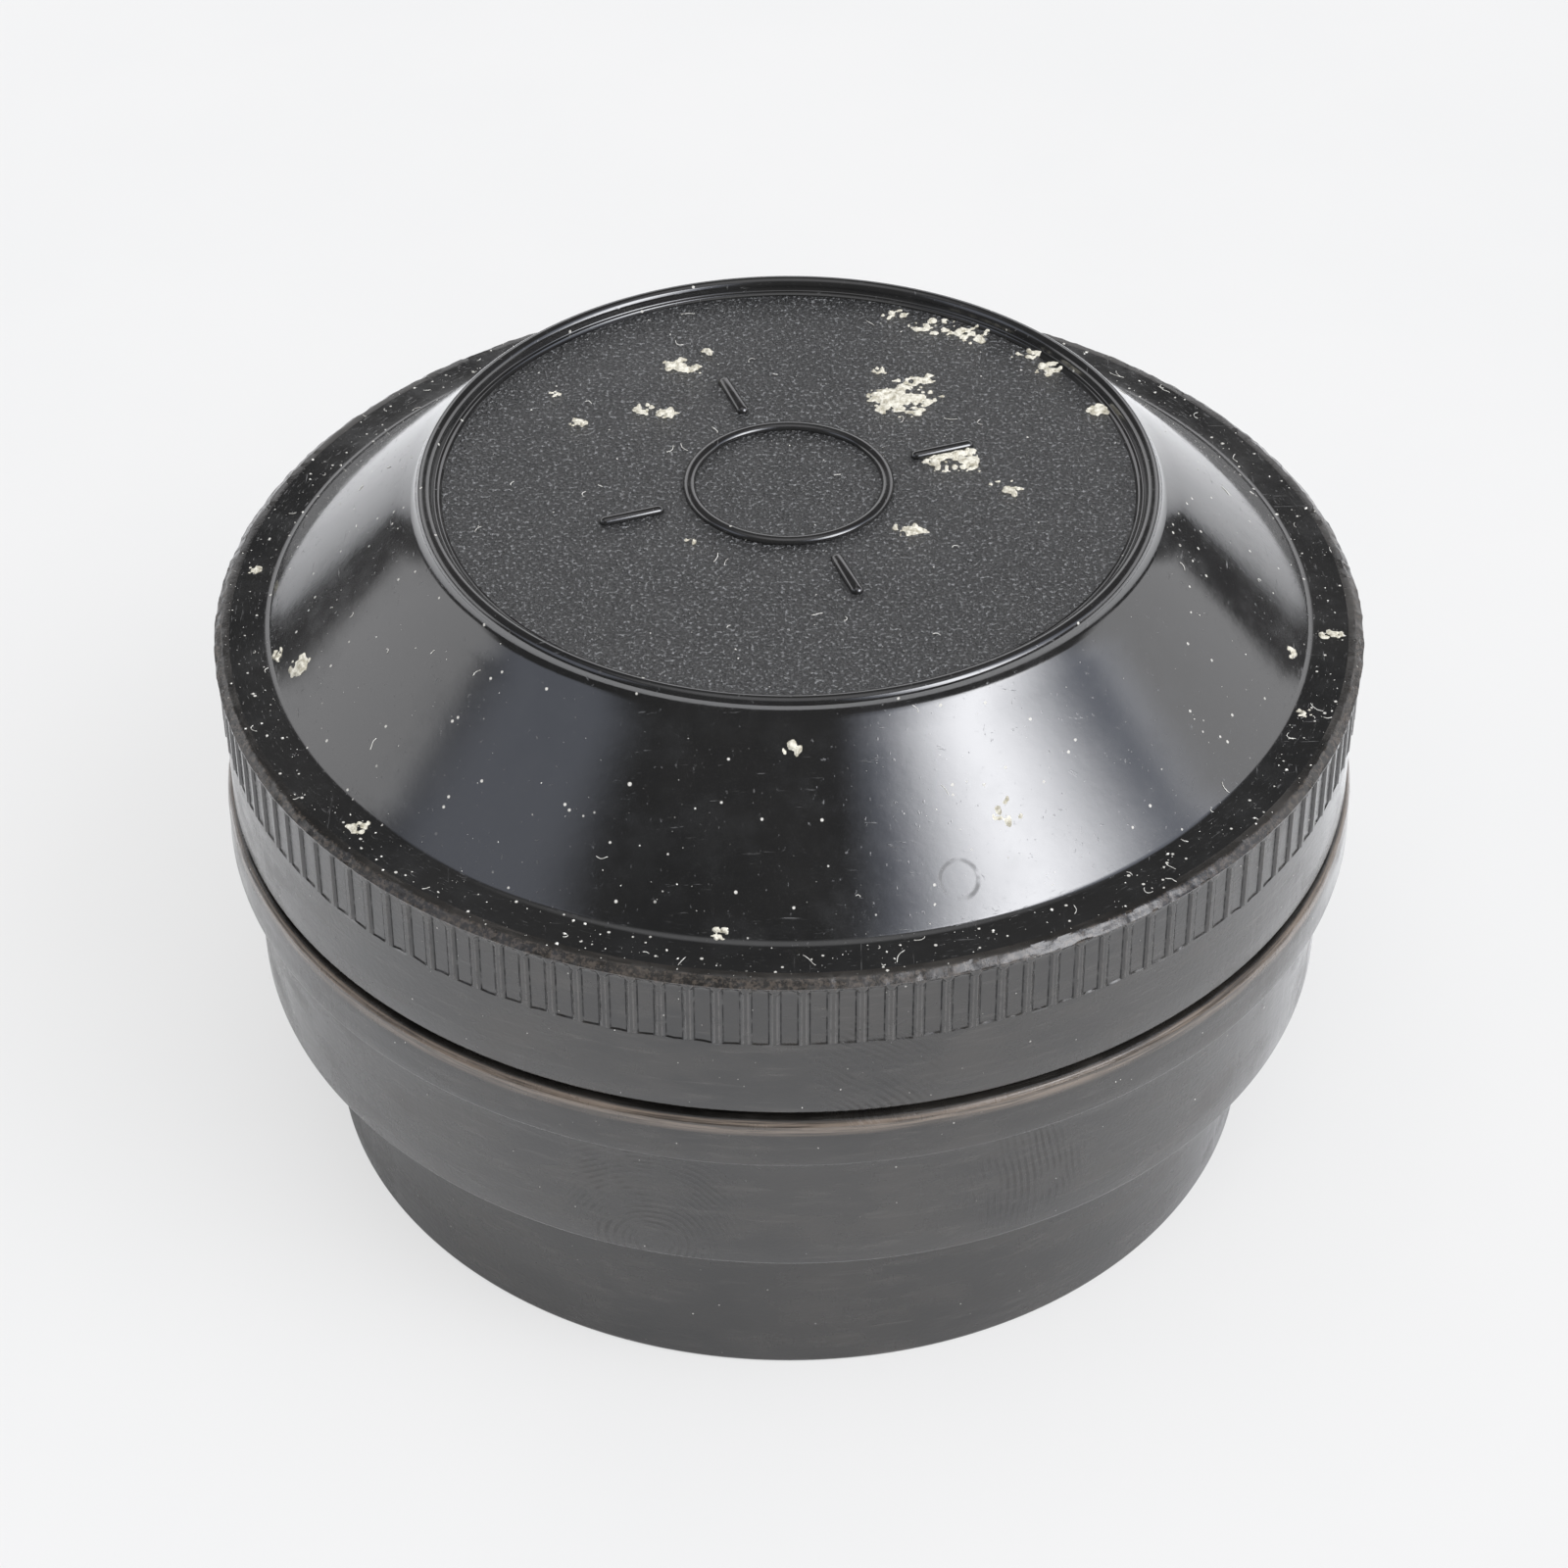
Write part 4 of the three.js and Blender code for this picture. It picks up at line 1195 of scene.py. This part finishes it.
def build_dirt():
    rng = np.random.default_rng(12)
    pale = lint_material()
    on_skirt = (260, wall_dust, SKIRT_R, LID_Z + 0.3, COLLAR_Z)
    on_band = (110, wall_dust, BAND_TOP_R, FOOT_TOP_Z + 0.5, BAND_TOP_Z - 0.5)
    on_flange = (90, wall_dust, FLANGE_BOTTOM_R - 0.03, BAND_TOP_Z + 0.4, FLANGE_TOP_Z - 0.6)
    on_foot = (60, wall_dust, FOOT_R, 0.6, FOOT_TOP_Z - 0.5)
    specks = many(rng, (620, shelf_dust), (330, cone_dust), (200, panel_dust), on_skirt)
    finished(lumps("lid_dust", specks, rng), "lid", [pale])
    finished(residue(), "lid", [crust_material()])
    fibres = many(rng, (46, shelf_lint), (40, cone_lint), (24, panel_lint))
    finished(lint("lid_lint", fibres, rng), "lid", [pale])
    specks = many(rng, on_band, on_flange, on_foot)
    finished(lumps("base_dust", specks, rng), "base", [pale])


# ---- studio ----------------------------------------------------------------------------------


FLOOR_GLOW = 0.635
FLOOR_HALF = 4.0


def floor_material():
    """White paper. Seen directly it is shown evenly lit, as an exposure for a black object shows
    it, and to everything else it is as bright as the lamps make it."""
    s = Shader("floor", Specular_IOR_Level=0.0, Emission_Color=(1, 1, 1, 1))
    mottle = s.ramp(s.noise(14, 5, 0.6), 0.3, 0.7)
    seen = s.node("LightPath", output="Is Camera Ray")
    paper = s.mix(mottle, (0.86, 0.865, 0.87, 1), (0.9, 0.9, 0.9, 1))
    shown = s.mix(mottle, (0.158, 0.16, 0.161, 1), (0.17, 0.17, 0.17, 1))
    return s.finish(
        Base_Color=s.mix(seen, paper, shown),
        Emission_Strength=s.times(seen, FLOOR_GLOW),
        Roughness=s.ramp(mottle, 0, 1, 0.6, 0.7),
    )


def build_floor():
    mesh = bpy.data.meshes.new("floor")
    corners = [(-1, -1), (1, -1), (1, 1), (-1, 1)]
    mesh.from_pydata([(FLOOR_HALF * x, FLOOR_HALF * y, 0) for x, y in corners], [], [(0, 1, 2, 3)])
    mesh.materials.append(floor_material())
    in_scene("floor", mesh)



# Soft panels round the case: azimuth in degrees right of the camera and elevation, each as
# start, end and the width of the soft edge; then how bright the panel is, and its colour.
WHITE = (1.0, 1.0, 1.02)
BLUISH = (0.9, 0.97, 1.16)
PANELS = [
    ((-92, -55, 18), (26, 56, 8), 0.58, BLUISH),
    ((43, 75, 34), (26, 60, 6), 7.3, WHITE),
    ((24, 106, 20), (28, 62, 8), 0.9, BLUISH),
    ((-180, 180, 1), (68, 90, 24), 0.55, WHITE),
]
ROOM = 0.13
# White walls at the sides and the back, between a low edge and a top.
WALL_LOW = 8.8
WALL_TOP = 30.5
WALL_FROM = 92
WALL_BRIGHT = 1.18


class Sky(Nodes):
    """The nodes of the studio: light by its direction from the case."""

    def find_direction(self):
        """Works out the azimuth to the right of the camera and the elevation, in degrees."""
        x, y, z = self.apart(self.node("TexCoord", output="Generated"))
        self.azimuth = self.math("DEGREES", self.math("ARCTAN2", x, self.times(y, -1.0)))
        self.elevation = self.math("DEGREES", self.math("ARCSINE", z))

    def between(self, value, low, high, soft):
        rising = self.ramp(value, low - soft / 2, low + soft / 2)
        return self.times(rising, self.ramp(value, high - soft / 2, high + soft / 2, 1.0, 0.0))

    def walls(self):
        side = self.math("ABSOLUTE", self.azimuth)
        low = self.ramp(self.elevation, WALL_LOW - 1.5, WALL_LOW + 1.5)
        high = self.ramp(self.elevation, WALL_TOP - 2, WALL_TOP + 2.5, 1.0, 0.0)
        return self.times(low, self.ramp(side, WALL_FROM - 6, WALL_FROM + 6), high)

    def panel(self, sides, heights):
        """A soft panel. One that reaches the zenith covers all round it."""
        low, high, soft = heights
        if high == 90:
            return self.ramp(self.elevation, low - soft / 2, low + soft / 2)
        across = self.between(self.azimuth, *sides)
        return self.times(across, self.between(self.elevation, *heights))

    def lit(self, total, strength, colour):
        """The light so far, with one more colour of light added."""
        return self.node("VectorMath", {0: colour, 1: strength, 2: total}, operation="MULTIPLY_ADD")


def build_world():
    """The studio as the case sees it: a dim room, side walls, and soft panels."""
    world = bpy.data.worlds.new("studio")
    world.use_nodes = True
    sky = Sky(world.node_tree)
    sky.find_direction()
    light = sky.lit([ROOM * part for part in WHITE], sky.times(sky.walls(), WALL_BRIGHT), WHITE)
    for sides, heights, strength, colour in PANELS:
        light = sky.lit(light, sky.times(sky.panel(sides, heights), strength), colour)
    sky.feed(world.node_tree.nodes["Background"].inputs["Color"], light)
    bpy.context.scene.world = world


def build_lamp(name, place, size, power):
    """A square soft lamp aimed at the case, which doesn't show in reflections."""
    light = bpy.data.lights.new(name, "AREA")
    light.size, light.energy = size, power
    lamp = in_scene(name, light)
    lamp.location = place
    lamp.rotation_euler = (-Vector(place)).to_track_quat("-Z", "Y").to_euler()
    lamp.visible_glossy = False
    lamp.visible_camera = False


# The camera looks down on the case from the front, aimed a little under the middle.
CAMERA_LENS = 96.03
CAMERA_DISTANCE = 0.26685
CAMERA_ELEVATION = 36.64
CAMERA_TILT = 50.867
CAMERA_PAN = 0.089
CAMERA_ROLL = -0.142


def build_camera():
    camera = bpy.data.cameras.new("camera")
    camera.lens = CAMERA_LENS
    camera.sensor_width = 36
    camera.clip_start = 0.01
    rise = math.radians(CAMERA_ELEVATION)
    away = Vector((0, -math.cos(rise), math.sin(rise))) * CAMERA_DISTANCE
    turn = Matrix.Identity(4)
    for degrees, axis in ((CAMERA_PAN, "Z"), (CAMERA_TILT, "X"), (CAMERA_ROLL, "Z")):
        turn @= Matrix.Rotation(math.radians(degrees), 4, axis)
    obj = in_scene("camera", camera)
    obj.matrix_world = Matrix.Translation(Vector((0, 0, SHELF_Z * MM)) + away) @ turn
    bpy.context.scene.camera = obj


# ---- the scene -------------------------------------------------------------------------------

build_camera()
bpy.context.scene.view_settings.view_transform = "Standard"

satin = satin_resin()
polished = polished_resin()
build_lid([polished, satin, panel_resin()])
build_mark(polished)
build_base(satin)

felt = [felt_material()]
pad = finished(felt_disc("felt_pad", pad_low, pad_high, 61), "base", felt, ["base_felt_pad"])
liner = felt_disc("liner_felt", felt_low, felt_high, 71)
finished(liner, "lid", felt, ["lid_liner_felt"])
finished(card_disc(), "lid", [card_material()], ["lid_liner_card"])
build_spring(metal("spring_steel", 0.2, 0.36, 0.25, 0.4))
build_seat_ring(metal("chromed_brass", 0.45, 0.62, 0.12, 0.24, turned_marks=True))
screw_metal = metal("screw_steel", 0.3, 0.5, 0.2, 0.35)
for index, spot in enumerate(screw_places()):
    build_screw(index + 1, spot, 0.6 + 1.3 * index, screw_metal)
build_dirt()

build_floor()
build_world()
build_lamp("overhead", (0, 0.1, 1.6), 1.6, 12)
build_lamp("front", (0.15, -1.1, 1.25), 1.4, 24)
